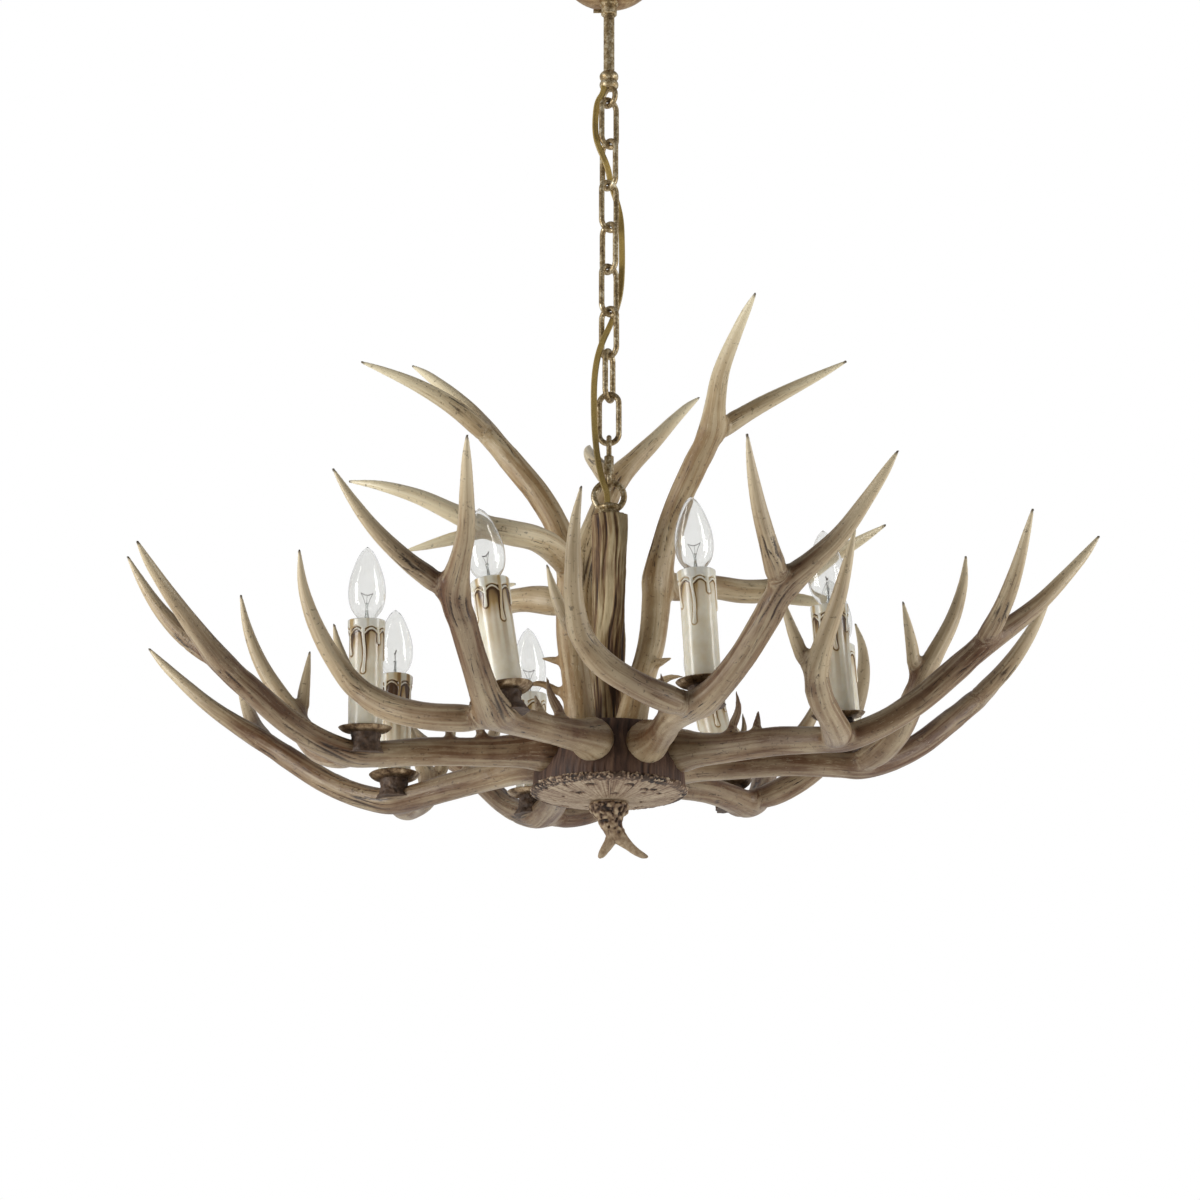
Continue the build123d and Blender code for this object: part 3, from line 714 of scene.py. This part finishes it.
set_attribute(antler_mesh, "shade", "FLOAT_COLOR", np.c_[near_tip, hub_stain_and_top_shade, fork, gutter])
print("deepest carving", round(carve.min(), 2), "mm")

# %% [markdown]
# The paint is a bone colour rubbed back from a brown stain. It is palest where hands would polish it,
# on ridges and towards the tips, and darkest in the gutters, at the forks and by the hub, and the very
# tips are dark horn. The darkness by the hub is stain with painted shade: it is deeper on upper sides
# and on the arms at the back. Fine streaks come from the same stretched coordinates, shifted by each
# casting's number. A value on each casting, its wash, says how strong the stain and painted shade by the hub are.

# %% Antler finish
TIP_POLISH = 0.9
HUB_STAIN_AND_SHADE = 1.05
# How much darker the forks are made.
FORK_DARKENING = 0.8


def antler_finish(name, *tones):
    pale, middle, deep, stain = (tone(*colour) for colour in tones)
    f = Finish(name, IOR=1.46)
    run = f.numbered(f.attribute("grain"))
    where = f.object_points()
    mask = f.node("SeparateColor", Color=f.attribute("shade", "Color")).outputs
    gutters = f.attribute("shade", "Alpha")
    tip, fork = mask["Red"], mask["Blue"]
    # hub: the stain by the hub with painted shade, deeper on upper sides and on the arms at the back.
    hub = f.times(mask["Green"], f.attribute("wash", "Fac"))
    bands = f.grain(f.stretched(run, (1, 1, 1.6)), 0.16, 5.0, 0.5, 0.9)
    streaks = f.grain(f.stretched(run, (1, 1, 2.0)), 0.7, 6.0, 0.65, 0.4)
    hairs = f.grain(f.stretched(run, (1, 1, 1.4)), 2.2, 4.0, 0.7, 0.3)
    blotch = f.grain(where, 11.0, 6.0, 0.6)
    places = f.grain(where, 21.0, 4.0, 0.6)
    stone = f.grain(where, 260.0, 3.0, 0.6)
    colour = f.mix(f.level(bands, 0.36, 0.62, 0.1, 0.7), middle, pale)
    colour = f.mix(f.times(tip, TIP_POLISH), colour, pale)
    # The dark share: stain by the hub with painted shade, and the darkening at the forks.
    stain_and_shade = f.math("ADD", f.times(hub, HUB_STAIN_AND_SHADE), f.times(fork, FORK_DARKENING))
    stain_and_shade = f.times(stain_and_shade, f.level(bands, 0.62, 0.34, 0.6, 1.0), f.level(blotch, 0.32, 0.6, 0.45, 1.15))
    colour = f.mix(stain_and_shade, colour, deep)
    thin = f.times(f.level(streaks, 0.41, 0.35), f.level(tip, 0.1, 0.5, 1.0, 0.1),
                   f.level(places, 0.45, 0.53, 0.05, 1.0))
    colour = f.mix(thin, colour, stain)
    colour = f.mix(f.level(hairs, 0.38, 0.28, 0.0, 0.3), colour, stain)
    colour = f.mix(f.level(gutters, 0.25, 0.7, 0.0, 0.9), colour, stain)
    brushed = f.times(f.level(hairs, 0.6, 0.66), f.level(tip, 0.2, 0.5, 1.0, 0.0),
                      f.level(places, 0.5, 0.4, 0.1, 0.75))
    colour = f.mix(brushed, colour, pale)
    colour = f.mix(f.level(stone, 0.61, 0.69, 0, 0.55), colour, stain)
    colour = f.mix(f.level(tip, 0.9, 0.96, 0, 0.85), colour, stain)
    f.set(f.shader, {"Base Color": colour, "Roughness": f.level(blotch, 0.35, 0.65, 0.28, 0.42)})
    relief = f.math("ADD", f.times(streaks, 0.7), f.times(stone, 0.3))
    f.bump(relief, f.level(tip, 0.15, 0.6, 0.6, 0.12), 0.0014)
    return f.material


# The arms get darker tones than the crown: the same casting, partly stain and partly painted shade on the low
# arms.
shaded_arm_finish = antler_finish("antler of the arms", (224, 208, 174), (168, 138, 98), (100, 68, 42),
                           (44, 27, 16))
standing_finish = antler_finish("antler of the crown", (246, 234, 200), (208, 184, 142), (154, 123, 82),
                                (66, 45, 26))
print("antler finishes", shaded_arm_finish.name, "and", standing_finish.name)

# %% [markdown]
# The arms lie round the hub and curve up; the three standing antlers are the same casting set on
# end. Each stands where the CAD solid of that name is, so we build the same frames from the same
# headings and tilts. The arms at the back get the strongest wash, which is painted shade.

# %% Where the castings stand
ARM_START = 60.0
ARM_RISE = 33.0
ARMS = (
    (-64.6, 3.3, 1.1), (-23.1, 8.8, 0.8), (18.4, -4.7, 2.8), (63.2, -12.8, 0.3),
    (113.7, -2.0, 0.5), (156.6, 2.1, -1.8), (203.3, -4.8, -2.1), (252.6, 9.0, 0.0),
)
STANDING = (
    (19, -35, 26, -40.1, 2.1, -3.6), (-24, -29, 25, 166.0, 2.4, -5.8), (11, 36, 20, 67.4, -3.6, -2.8),
)
# Extra hub darkening on the arms at the back: painted shade.
BACK_ARM_SHADE = 0.7
FOOT = HUB_FOOT / MM


def frame_matrix(origin_mm, u_axis, w_axis):
    v_axis = w_axis.cross(u_axis)
    matrix = Matrix((u_axis, v_axis, w_axis)).transposed().to_4x4()
    matrix.translation = origin_mm * MM
    return matrix


def directions(heading):
    """Outwards, sideways and up, for a heading in radians."""
    out = Vector((math.cos(heading), math.sin(heading), 0))
    return out, Vector((-out.y, out.x, 0)), Vector((0, 0, 1))


def arm_matrix(heading, roll, pitch):
    a, r, p = map(math.radians, (heading, roll, pitch))
    out, side, up = directions(a)
    u_axis = out * math.cos(p) + up * math.sin(p)
    w_axis = up * math.cos(r) * math.cos(p) - out * math.cos(r) * math.sin(p) - side * math.sin(r)
    return frame_matrix(out * ARM_START + up * (FOOT + ARM_RISE), u_axis, w_axis)


def standing_matrix(x, y, rise, heading, lean, side_lean):
    a, p, s = map(math.radians, (heading, lean, side_lean))
    out, side, up = directions(a)
    u_axis = up * math.cos(p) * math.cos(s) - side * math.cos(p) * math.sin(s) + out * math.sin(p)
    w_axis = out * math.cos(p) - up * math.sin(p) * math.cos(s) + side * math.sin(p) * math.sin(s)
    return frame_matrix(Vector((x, y, FOOT + rise)), u_axis, w_axis)


def fit(name, mesh, finish, node, matrix=None):
    """One piece that hides a solid of the model and swings with the fixture."""
    piece = place(name, mesh, matrix)
    dress(piece, finish)
    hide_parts(node)
    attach(piece, "fixture")
    return piece


def cast(name, number, matrix, finish, node, wash=1.0):
    """One casting from the mould, with its place in its own mesh and its own depth of hub stain and painted shade.
    """
    mesh = antler_mesh.copy()
    mesh.transform(matrix)
    set_attribute(mesh, "wash", "FLOAT", np.full(len(mesh.vertices), wash))
    fit(name, mesh, finish, node).pass_index = number


arm_places = [arm_matrix(*arm) for arm in ARMS]
# Arms heading backwards get a deeper wash, which is painted shade.
for number, (matrix, (heading, _, _)) in enumerate(zip(arm_places, ARMS), 1):
    cast(f"carved_arm_{number}", number, matrix, shaded_arm_finish, f"antler_arm_{number}",
         1.0 + BACK_ARM_SHADE * max(0.0, math.sin(math.radians(heading))))
for number, foot in enumerate(STANDING, 1):
    cast(f"carved_crown_{number}", len(ARMS) + number, standing_matrix(*foot), standing_finish,
         f"antler_standing_{number}")
print("eleven castings placed")

# %% [markdown]
# Drum, rim, column and finial share one kind of paint: pale on what stands out, brown in what lies
# deep. Their carving writes down how hollow each point lies, and the finish only colours that.

# %% Bark finish
UPRIGHT, ROUND = (1, 1, 0.1), (1, 1, 1)


def bark_finish(name, stretch, *tones):
    high, middle, low, crevice = (tone(*colour) for colour in tones)
    f = Finish(name, Roughness=0.62, IOR=1.45)
    hollow = f.attribute("hollow", "Fac")
    lines = f.grain(f.stretched(f.object_points(), stretch), 330.0, 5.0, 0.65)
    patches = f.grain(f.object_points(), 38.0, 3.0, 0.5)
    depth = f.math("ADD", f.times(hollow, 0.75), f.level(lines, 0.3, 0.75, 0.0, 0.34))
    colour = f.ramp(depth, (0.12, high), (0.38, middle), (0.62, low), (0.86, crevice))
    colour = f.mix(f.level(patches, 0.45, 0.75, 0, 0.55), colour, low)
    f.set(f.shader, {"Base Color": colour, "Roughness": f.level(lines, 0.3, 0.7, 0.7, 0.55)})
    f.bump(lines, 0.5, 0.0008)
    return f.material


hub_finish = bark_finish("hub bark", UPRIGHT, (126, 98, 76), (96, 70, 54), (72, 50, 38), (30, 18, 13))
rim_finish = bark_finish("burr rim", ROUND, (212, 196, 168), (184, 164, 138), (130, 104, 82), (40, 27, 20))
column_finish = bark_finish("column bark", UPRIGHT, (208, 190, 150), (168, 142, 102), (116, 86, 56),
                            (54, 34, 22))
finial_finish = bark_finish("coral burr", ROUND, (184, 164, 134), (146, 122, 94), (96, 72, 52),
                            (44, 30, 22))
print("bark finishes ready")

# %% [markdown]
# The hub is cast like a cut of bark: fine upright grooves run down its side to a beaded rim. A
# turned grid with many points carries them. Drum and rim are two pieces, as in the model.

# %% Hub drum
AROUND_HUB = 420
HUB_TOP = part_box("hub_drum")[1].z / MM
RIM_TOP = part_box("hub_rim")[1].z / MM
GROOVE_SWELL = 0.6


def carved_rows(profile, around):
    """Turned rows and the angle of every point, ready to be pushed."""
    return turned(profile, around), np.tile(full_turn(around), (len(profile), 1))


def push_out(rows, turn, amount, lift=0.0):
    rows = rows + np.stack([np.cos(turn), np.sin(turn), np.zeros_like(turn)], axis=-1) * amount[..., None]
    rows[..., 2] += lift
    return rows


def bark(turn, heights, round_scale, run_scale, seed):
    """Noise round a column that runs along it and closes after a full turn."""
    around = np.stack([np.cos(turn) * round_scale, np.sin(turn) * round_scale, heights / run_scale], -1)
    return rough_noise(around, seed, 3)


drum_profile = [(0.5, HUB_TOP), (30, HUB_TOP), (61, HUB_TOP - 0.1), (63.2, HUB_TOP - 0.7)]
drum_profile += smooth_profile(((64.0, HUB_TOP - 2), (64.9, HUB_TOP - 12), (67.6, FOOT + 34),
                                (70.8, FOOT + 22), (71.9, FOOT + 12), (72.0, FOOT + 5)))
rows, turn = carved_rows(drum_profile, AROUND_HUB)
grooves = bark(turn + 0.02 * np.sin(rows[..., 2] / 6), rows[..., 2], 34, 22, 5)
wall = np.array([0, 0, 0.3, 0.8] + [1] * (len(drum_profile) - 4))[:, None]
rows = push_out(rows, turn, (grooves * GROOVE_SWELL - 0.4) * wall, -0.25 * np.abs(grooves) * (1 - wall))
drum_mesh = ring_mesh("hub_bark", rows, True)
set_attribute(drum_mesh, "hollow", "FLOAT", clamp(0.5 - grooves * 0.4))
fit("hub_bark", drum_mesh, hub_finish, "hub_drum")
print("drum points", len(drum_mesh.vertices))

# %% [markdown]
# The rim looks like an antler's burr: small pearls crowd along its edge, and the domed underside
# has a few deep pits and fine lines that fan out from the middle. The pits come from one rule that
# spreads them by the golden angle, so no two lie on one radius.

# %% Hub rim
PIT_COUNT = 26
PIT_START, PIT_SPREAD, PIT_SCATTER = 25, 38, 4
PIT_DEPTH = 2.4
UNDERSIDE_DROP = 8.5
golden = math.pi * (3 - math.sqrt(5))
pits = []
for k in range(PIT_COUNT):
    reach = PIT_START + PIT_SPREAD * math.sqrt((k + 0.5) / PIT_COUNT) + PIT_SCATTER * math.sin(5.1 * k)
    pits.append((reach, golden * k + 0.25 * math.sin(3.3 * k), 1.0 + 0.35 * (k % 4)))
rim_profile = [(r, FOOT - UNDERSIDE_DROP * (1 - (r / 71) ** 2)) for r in np.linspace(8, 70, 40)]
rim_profile += [(71.5 + 3.2 * math.sin(a), FOOT + 3.0 - 3.0 * math.cos(a))
                for a in np.linspace(0.1, 2.7, 12)]
rim_profile += [(70, RIM_TOP), (67, RIM_TOP)]
rows, turn = carved_rows(rim_profile, AROUND_HUB)
radius = np.hypot(rows[..., 0], rows[..., 1])
edge = fade(radius, 65, 5)
pearl = noise(rows / 1.8, 8) + 0.6 * noise(rows / 1.2, 9)
fan = bark(turn, radius, 30, 60, 12) * fade(radius, 10, 20) * (1 - edge)
depth = np.zeros_like(radius)
for pit_radius, pit_turn, pit_size in pits:
    c, s = math.cos(pit_turn), math.sin(pit_turn)
    off_x, off_y = rows[..., 0] - pit_radius * c, rows[..., 1] - pit_radius * s
    across, outward = off_y * c - off_x * s, off_x * c + off_y * s
    depth = np.maximum(depth, clamp(1.8 - np.hypot(across * 0.6, outward) / pit_size))
rows = push_out(rows, turn, edge * (pearl * 1.5 - 0.9),
                edge * pearl * 0.9 + PIT_DEPTH * depth * (1 - edge) + 0.3 * fan)
rim_mesh = ring_mesh("hub_burr_rim", rows, True, True)
set_attribute(rim_mesh, "hollow", "FLOAT",
              clamp(0.25 + depth + 0.5 * np.abs(fan) * (1 - edge) + edge * (0.65 - pearl)))
fit("hub_burr_rim", rim_mesh, rim_finish, "hub_rim")
print(PIT_COUNT, "pits in the underside")

# %% [markdown]
# The centre column is a straight stretch of bark. Its ridges wander as they climb, some merge, and
# the cracks between them stay dark. It is darker towards its foot, and its top is cut square.

# %% Column
COLUMN_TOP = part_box("centre_column")[1].z / MM
COLUMN_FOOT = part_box("centre_column")[0].z / MM
COLUMN_RADIUS, FOOT_FLARE, TOP_FLARE = 15.0, 2.2, 3.0
RIDGE_HEIGHT, FINE_RIDGE_HEIGHT = 1.9, 0.9
FOOT_DARKENING = 0.32
column_profile = []
for t in np.linspace(0, 1, 120):
    girth = COLUMN_RADIUS + FOOT_FLARE * math.exp(-t / 0.05) + TOP_FLARE * t**2
    column_profile.append((girth, COLUMN_FOOT + t * (COLUMN_TOP - COLUMN_FOOT)))
column_profile += [(17.0, COLUMN_TOP), (5.2, COLUMN_TOP - 0.4)]
rows, turn = carved_rows(column_profile, 132)
heights = rows[..., 2]
turn_there = turn + 0.22 * np.sin(heights / 31) + 0.07 * np.sin(heights / 13 + 1)
ridges = bark(turn_there, heights, 2.4, 75, 40)
fine_ridges = bark(turn_there, heights, 8.5, 38, 41)
body = np.ones((len(column_profile), 1))
body[-2:] = 0
rows = push_out(rows, turn, body * (ridges * RIDGE_HEIGHT + fine_ridges * FINE_RIDGE_HEIGHT - 0.4))
column_mesh = ring_mesh("column_bark", rows, True, True)
climb = (heights[:, :1] - COLUMN_FOOT) / (COLUMN_TOP - COLUMN_FOOT)
# Darker towards the foot.
wash = FOOT_DARKENING * clamp(1.05 - climb) ** 1.6
set_attribute(column_mesh, "hollow", "FLOAT", clamp(0.24 + wash - ridges * 0.48 - fine_ridges * 0.55))
fit("column_bark", column_mesh, column_finish, "centre_column")
print("column from", round(COLUMN_FOOT), "to", round(COLUMN_TOP))

# %% [markdown]
# Under the hub hangs a burr that is pitted like coral and ends in two short tines. It is made in
# the antlers' way: tubes fused into one skin, then carved. Here the carving is round cells, deep
# near the top and gone at the tips.

# %% Finial
FINIAL_BURR = (
    (0, 0, -8, 17), (0, 0, -11, 19.2), (0, 0, -17, 17.4), (0, 0, -23, 12.5),
)
FINIAL_STEM = (
    (0, 0, -15, 14), (1.5, 0, -24, 12), (4.5, 0, -34, 9.2), (10, 0, -41, 7.6, 7.2),
    (18, 0.5, -48.5, 4.8), (27, 1, -55.5, 3.7), (33, 1.5, -58.5, 2.8),
    (37, 2, -59.5, 1.2),
)
FINIAL_TINE = (
    (5, 0, -36, 7), (1, 0, -45, 5.4), (-4, -0.5, -53, 4.4), (-8, -1, -59, 3.0),
    (-10, -1, -61, 1.2),
)
FINIAL_STEP, FINIAL_VOXEL = 1.5, 0.8
finial_parts = [Branch(s, FINIAL_STEP) for s in (FINIAL_BURR, FINIAL_STEM, FINIAL_TINE)]
finial_mesh = fused("finial_burr", finial_parts, FINIAL_VOXEL)
points = read_points(finial_mesh)
points = relax(points, neighbours(finial_mesh), np.full(len(points), 0.5), 6)
write_points(finial_mesh, points)
upper = fade(points[:, 2], -49, 22) * clamp((-8.5 - points[:, 2]) / 1.5)
cells = noise(points / 3.4, 51) + 0.6 * noise(points / 1.9, 52)
points = points + surface_normals(finial_mesh) * (upper * (0.9 * cells - 1.5 * (cells < -0.35)))[:, None]
write_points(finial_mesh, points)
set_attribute(finial_mesh, "hollow", "FLOAT", clamp(0.16 + upper * (0.36 - 0.7 * cells)))
fit("finial_burr", finial_mesh, finial_finish, "finial", Matrix.Translation((0, 0, HUB_FOOT)))
print("finial points", len(points))

# %% [markdown]
# Each candle is a cast sleeve with wax run down from its rim. The thick band at the top ends in
# shallow scallops; under it, raised arches stand between drips of different lengths. The sleeve is
# a fine turned grid, and one function says how thick the wax is at any angle and height. A brown
# wash was wiped over the cast and stayed in the corners beside the wax, on some sleeves more than
# on others. The wax lets a little light through.

# %% Candle sleeves
CANDLE_AT = (177.0, -19.0)
SLEEVE_FLOOR = 14.3
SLEEVE_TOP = 118.3
SLEEVE_RADIUS = 16.0
AROUND_SLEEVE = 240
SCALLOPS = 7
DRIP_LENGTHS = (41, 24, 33, 50, 22, 36, 27)
BAND_DEPTH, SCALLOP_DEPTH = 7.5, 2.6
BAND_HEIGHT, ARCH_HEIGHT, DRIP_HEIGHT = 1.5, 1.15, 1.3
STAINS = (1.0, 1.6, 1.6, 1.0, 1.0, 2.6, 1.6, 1.6)


def ridge(away, width):
    return clamp(1 - (away / width) ** 2) ** 0.75


def wax(turn, down):
    """Thickness of the wax in millimetres and how much brown wash lies beside it."""
    swing = np.abs(np.cos(turn * SCALLOPS / 2))
    band_foot = BAND_DEPTH + SCALLOP_DEPTH * (1 - swing**1.5)
    band = clamp((band_foot - down) / 0.8) * clamp(down / 0.9 + 0.45)
    arch_line = band_foot + 2.2 + 2.8 * (1 - swing**0.8)
    arch = ridge(down - arch_line, 1.15)
    tall = np.zeros_like(down)
    beside = np.zeros_like(down)
    for k, length in enumerate(DRIP_LENGTHS):
        centre = (2 * k + 1) * np.pi / SCALLOPS
        lean = 0.05 * np.sin(down / 7 + k)
        away = np.abs((turn - centre - lean + np.pi) % (2 * np.pi) - np.pi) * SLEEVE_RADIUS
        past = np.clip(down - length, 0, None)
        width = 1.35 + 0.75 * clamp((down - length + 8) / 7) + 0.8 * clamp((18 - down) / 8)
        reach = np.hypot(away, past)
        tall = np.maximum(tall, ridge(reach, width))
        beside = np.maximum(beside, np.exp(-((reach - width - 0.4) / 0.7) ** 2) * (down < length + 5))
    thick = np.maximum(BAND_HEIGHT * band, np.maximum(ARCH_HEIGHT * arch, DRIP_HEIGHT * tall * (down > 5)))
    bare = 1 - clamp(thick * 1.3 - 0.1)
    under = np.exp(-((down - arch_line - 1.6) / 0.9) ** 2) + np.exp(-((down - band_foot - 0.7) / 0.6) ** 2)
    stain = clamp(1 - (down - arch_line) / 30) ** 1.4 * (down > arch_line)
    around = np.stack([np.cos(turn), np.sin(turn), down / 260], axis=-1)
    runs = clamp(0.5 + 1.1 * noise(around * 4.5, 64))
    long_stain = clamp(1 - down / 95) * runs**2
    wash = np.maximum(0.8 * clamp(under), 0.5 * beside * (down > 9)) + stain * (0.3 + 0.4 * runs)
    return thick, clamp(wash * bare + 0.3 * long_stain)


down = np.r_[np.linspace(0, 66, 200), np.linspace(70, SLEEVE_TOP - SLEEVE_FLOOR, 8)]
rows, turn = carved_rows([(SLEEVE_RADIUS, SLEEVE_TOP - d) for d in down], AROUND_SLEEVE)
thick, wash = wax(turn, np.tile(down[:, None], (1, AROUND_SLEEVE)))
rows = push_out(rows, turn, thick + 0.1 * noise(rows / 7, 61) - 0.1)
inner = [(12.4, SLEEVE_TOP - 12), (13.8, SLEEVE_TOP - 0.6), (15.4, SLEEVE_TOP + 0.1)]
rows = np.concatenate([turned(inner, AROUND_SLEEVE), rows])
wash = np.concatenate([np.full((len(inner), AROUND_SLEEVE), 0.7), wash])
sleeve_mesh = ring_mesh("wax_sleeve", rows)
set_attribute(sleeve_mesh, "wash", "FLOAT", wash)


def wax_finish(name, stain):
    """Ivory wax; the brown wash is the stronger the larger the stain."""
    f = Finish(name, Roughness=0.24, IOR=1.48, Subsurface_Weight=0.75, Subsurface_Scale=0.015,
               Subsurface_Radius=(1.0, 0.95, 0.85), Coat_Weight=0.3, Coat_Roughness=0.2)
    brown = f.times(f.attribute("wash", "Fac"), stain)
    cloud = f.grain(f.object_points(), 90.0, 3.0)
    tint = f.mix(f.level(cloud, 0.35, 0.75), tone(243, 238, 222), tone(232, 223, 198))
    tint = f.mix(f.level(brown, 0.03, 0.5), tint, tone(186, 156, 106))
    tint = f.mix(f.level(brown, 0.45, 1.0), tint, tone(88, 60, 32))
    f.set(f.shader, {"Base Color": tint})
    return f.material


wax_finishes = {stain: wax_finish(f"ivory wax {stain}", stain) for stain in sorted(set(STAINS))}
to_candle = Matrix.Translation((CANDLE_AT[0] * MM, CANDLE_AT[1] * MM, 0))
candle_places = [matrix @ to_candle for matrix in arm_places]
for number, (spot, stain) in enumerate(zip(candle_places, STAINS), 1):
    fit(f"wax_sleeve_{number}", sleeve_mesh.copy(), wax_finishes[stain], "candle_sleeves",
        spot @ Matrix.Rotation(2.4 * number, 4, "Z"))
print("eight sleeves,", len(sleeve_mesh.vertices), "points each")

# %% [markdown]
# A lump of dark filler joins each drip dish to its antler. It is a short turned cone, kneaded by noise. The
# dishes themselves are right as they are in the model and only need their bronze.

# %% Saddles
saddle_profile = [(4, 14.0), (13.2, 14.2), (13.6, 13.4)] + [
    (13.4 + 4.2 * t**1.5 - 0.9 * math.sin(math.pi * t), 13.4 - 19.4 * t) for t in np.linspace(0.06, 1, 26)]
rows, turn = carved_rows(saddle_profile, 110)
knead = rough_noise(rows / 5.2, 71, 3)
rows = push_out(rows, turn, (np.arange(len(saddle_profile)) > 2)[:, None] * knead * 1.5)
saddle_mesh = ring_mesh("kneaded_saddle", rows, True, True)
filler = Finish("brown filler", Roughness=0.6)
lump = filler.grain(filler.object_points(), 160.0, 5.0)
filler.set(filler.shader, {"Base Color": filler.ramp(lump, (0.3, tone(52, 38, 29)), (0.6, tone(94, 74, 58)),
                                                     (0.8, tone(128, 106, 84)))})
filler.bump(lump, 0.7, 0.0012)
for number, spot in enumerate(candle_places, 1):
    fit(f"kneaded_saddle_{number}", saddle_mesh, filler.material, "candle_saddles",
        spot @ Matrix.Rotation(1.7 * number, 4, "Z"))
print("eight saddles")

# %% [markdown]
# The lamps are clear candle lamps. The bulb is a thin glass skin with an inner and an outer side,
# so that light bends as it does in real glass. Inside stand a glass post, two lead-in wires and a
# filament on a hook. All of it rides with its own lamp.

# %% Lamps
BULB_RADIUS = 17.5
GLASS_FOOT = 116.3
BULB_HEIGHT = 70.0
GLASS_WALL = 0.5
BULGE = 0.36
GLASS_SMOOTHING = 60
RADIUS_AT = (
    (14.0, 0.13), (16.7, 0.24), (BULB_RADIUS, BULGE), (16.6, 0.52), (12.5, 0.72), (7.6, 0.88),
    (3.6, 0.965),
)

glass_side = [(6.4, GLASS_FOOT), (8.6, GLASS_FOOT + 4.4)]
glass_side += [(radius, SLEEVE_TOP + share * BULB_HEIGHT) for radius, share in RADIUS_AT]
glass_side.append((0.15, SLEEVE_TOP + BULB_HEIGHT - 0.1))
outside = np.array(smooth_profile(glass_side, 14))
for _ in range(GLASS_SMOOTHING):
    outside[1:-1] = (outside[:-2] + 2 * outside[1:-1] + outside[2:]) / 4
outside = [tuple(point) for point in outside]
middle_z = SLEEVE_TOP + BULGE * BULB_HEIGHT
shrink = 1 - GLASS_WALL / BULB_RADIUS
inside = [(r * shrink, middle_z + (z - middle_z) * shrink) for r, z in reversed(outside)]
glass_mesh = ring_mesh("lamp_glass", turned(outside + inside + outside[:1], 120))
glass = two_tone("clear lamp glass", 60.0, (240, 240, 238), (246, 246, 245), Roughness=0.04, IOR=1.46,
                 Transmission_Weight=1.0)


def wire_rows(path, radius):
    line = Branch([(*p, radius) for p in path], 0.6)
    line.half[:] = radius
    return line.rows(8)


post_foot = GLASS_FOOT + 1
post_profile = [(3.4, post_foot), (2.2, post_foot + 4), (1.4, post_foot + 9), (1.3, post_foot + 15),
                (1.9, post_foot + 17), (0.2, post_foot + 18.2)]
post_mesh = ring_mesh("glass_post", turned(smooth_profile(post_profile), 24), True, True)
arm_top = post_foot + 27
left_wire = ((-1.0, 0, post_foot + 3), (-1.2, 0.2, post_foot + 16), (-3.2, 0.4, post_foot + 22),
             (-5.8, 0.3, arm_top))
right_wire = [(-x, -y, z) for x, y, z in left_wire]
hook = ((0, 0, post_foot + 17), (0.2, 0.4, post_foot + 21), (0, 0.9, arm_top - 1.6))
coil = [(-5.8 + 11.6 * t, 0.3 - 0.6 * t + 0.55 * math.sin(42 * math.pi * t),
         arm_top - 1.9 * math.sin(math.pi * t) + 0.55 * math.cos(42 * math.pi * t))
        for t in np.linspace(0, 1, 240)]
post_glass = two_tone("glass post", 300.0, (205, 210, 208), (238, 241, 240), Roughness=0.08, IOR=1.5,
                      Transmission_Weight=0.85)
nickel = two_tone("lead-in wire", 700.0, (66, 62, 60), (122, 116, 110), Metallic=1.0, Roughness=0.3)
wire_meshes = [ring_mesh(name, wire_rows(path, size), True, True) for name, path, size in (
    ("left_wire", left_wire, 0.22), ("right_wire", right_wire, 0.22), ("hook_wire", hook, 0.16),
    ("filament", coil, 0.12))]
lamp_parts = [("bulb", glass_mesh, glass, "lamp_glass"), ("post", post_mesh, post_glass, "lamp_glass")]
lamp_parts += [(mesh.name, mesh, nickel, "lamp_cap") for mesh in wire_meshes]
for number, spot in enumerate(candle_places, 1):
    spot = spot @ Matrix.Rotation(0.9 * number, 4, "Z")
    for name, mesh, finish, slot in lamp_parts:
        piece = place(f"lamp_{name}_{number}", mesh, spot)
        dress(piece, finish)
        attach(piece, f"lamp_{number}")
        if name == "bulb":
            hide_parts(f"bulb_glass_{number}")
print("eight lamps with", len(wire_meshes), "wires each")

# %% [markdown]
# The chain, loop, stem and canopy were painted dark bronze and rubbed with gold, so flecks of pale
# gold sit on the dark and no two links look alike. The CAD solids have the right shape and keep
# their place; they only get this finish. So do the dishes, nuts, screws, caps and lamp holders.

# %% Metal finishes
def patina(name, dark, body, gold, scale, metallic):
    f = Finish(name, Metallic=metallic, Roughness=0.42)
    where = f.object_points()
    large = f.grain(where, 0.35 * scale, 4.0, 0.6)
    fine = f.grain(where, scale, 5.0, 0.7)
    mixed = f.math("ADD", f.times(large, 0.45), f.times(fine, 0.55))
    colour = f.ramp(mixed, (0.36, tone(*dark)), (0.5, tone(*body)), (0.62, tone(*gold)))
    f.set(f.shader, {"Base Color": colour, "Roughness": f.level(fine, 0.3, 0.7, 0.55, 0.32)})
    f.bump(fine, 0.35, 0.0006)
    return f.material


finish_of = {
    "bronze_paint": patina("rubbed bronze", (84, 63, 40), (172, 149, 108), (240, 228, 198), 420.0, 0.65),
    "dish_bronze": patina("dish bronze", (70, 52, 38), (146, 122, 94), (202, 181, 149), 200.0, 0.95),
    "zinc_steel": patina("zinc plate", (120, 120, 118), (160, 160, 156), (190, 190, 186), 300.0, 0.9),
    "lamp_cap": patina("lamp cap brass", (150, 122, 70), (188, 160, 100), (216, 194, 140), 400.0, 0.95),
    "green_screw": patina("green screw", (20, 70, 36), (32, 96, 50), (60, 124, 74), 400.0, 0.4),
    "socket_white": two_tone("lamp holder", 500.0, (214, 210, 198), (226, 222, 212), Roughness=0.4),
}
for part in frame["record"]["subparts"]:
    finish = finish_of.get(part["material_slot"])
    if finish is not None:
        dress(nodes[part["node"]], finish)
dress(nodes["canopy"],
      patina("canopy bronze", (104, 74, 42), (156, 122, 78), (196, 168, 120), 160.0, 0.6))
print("metal dressed")
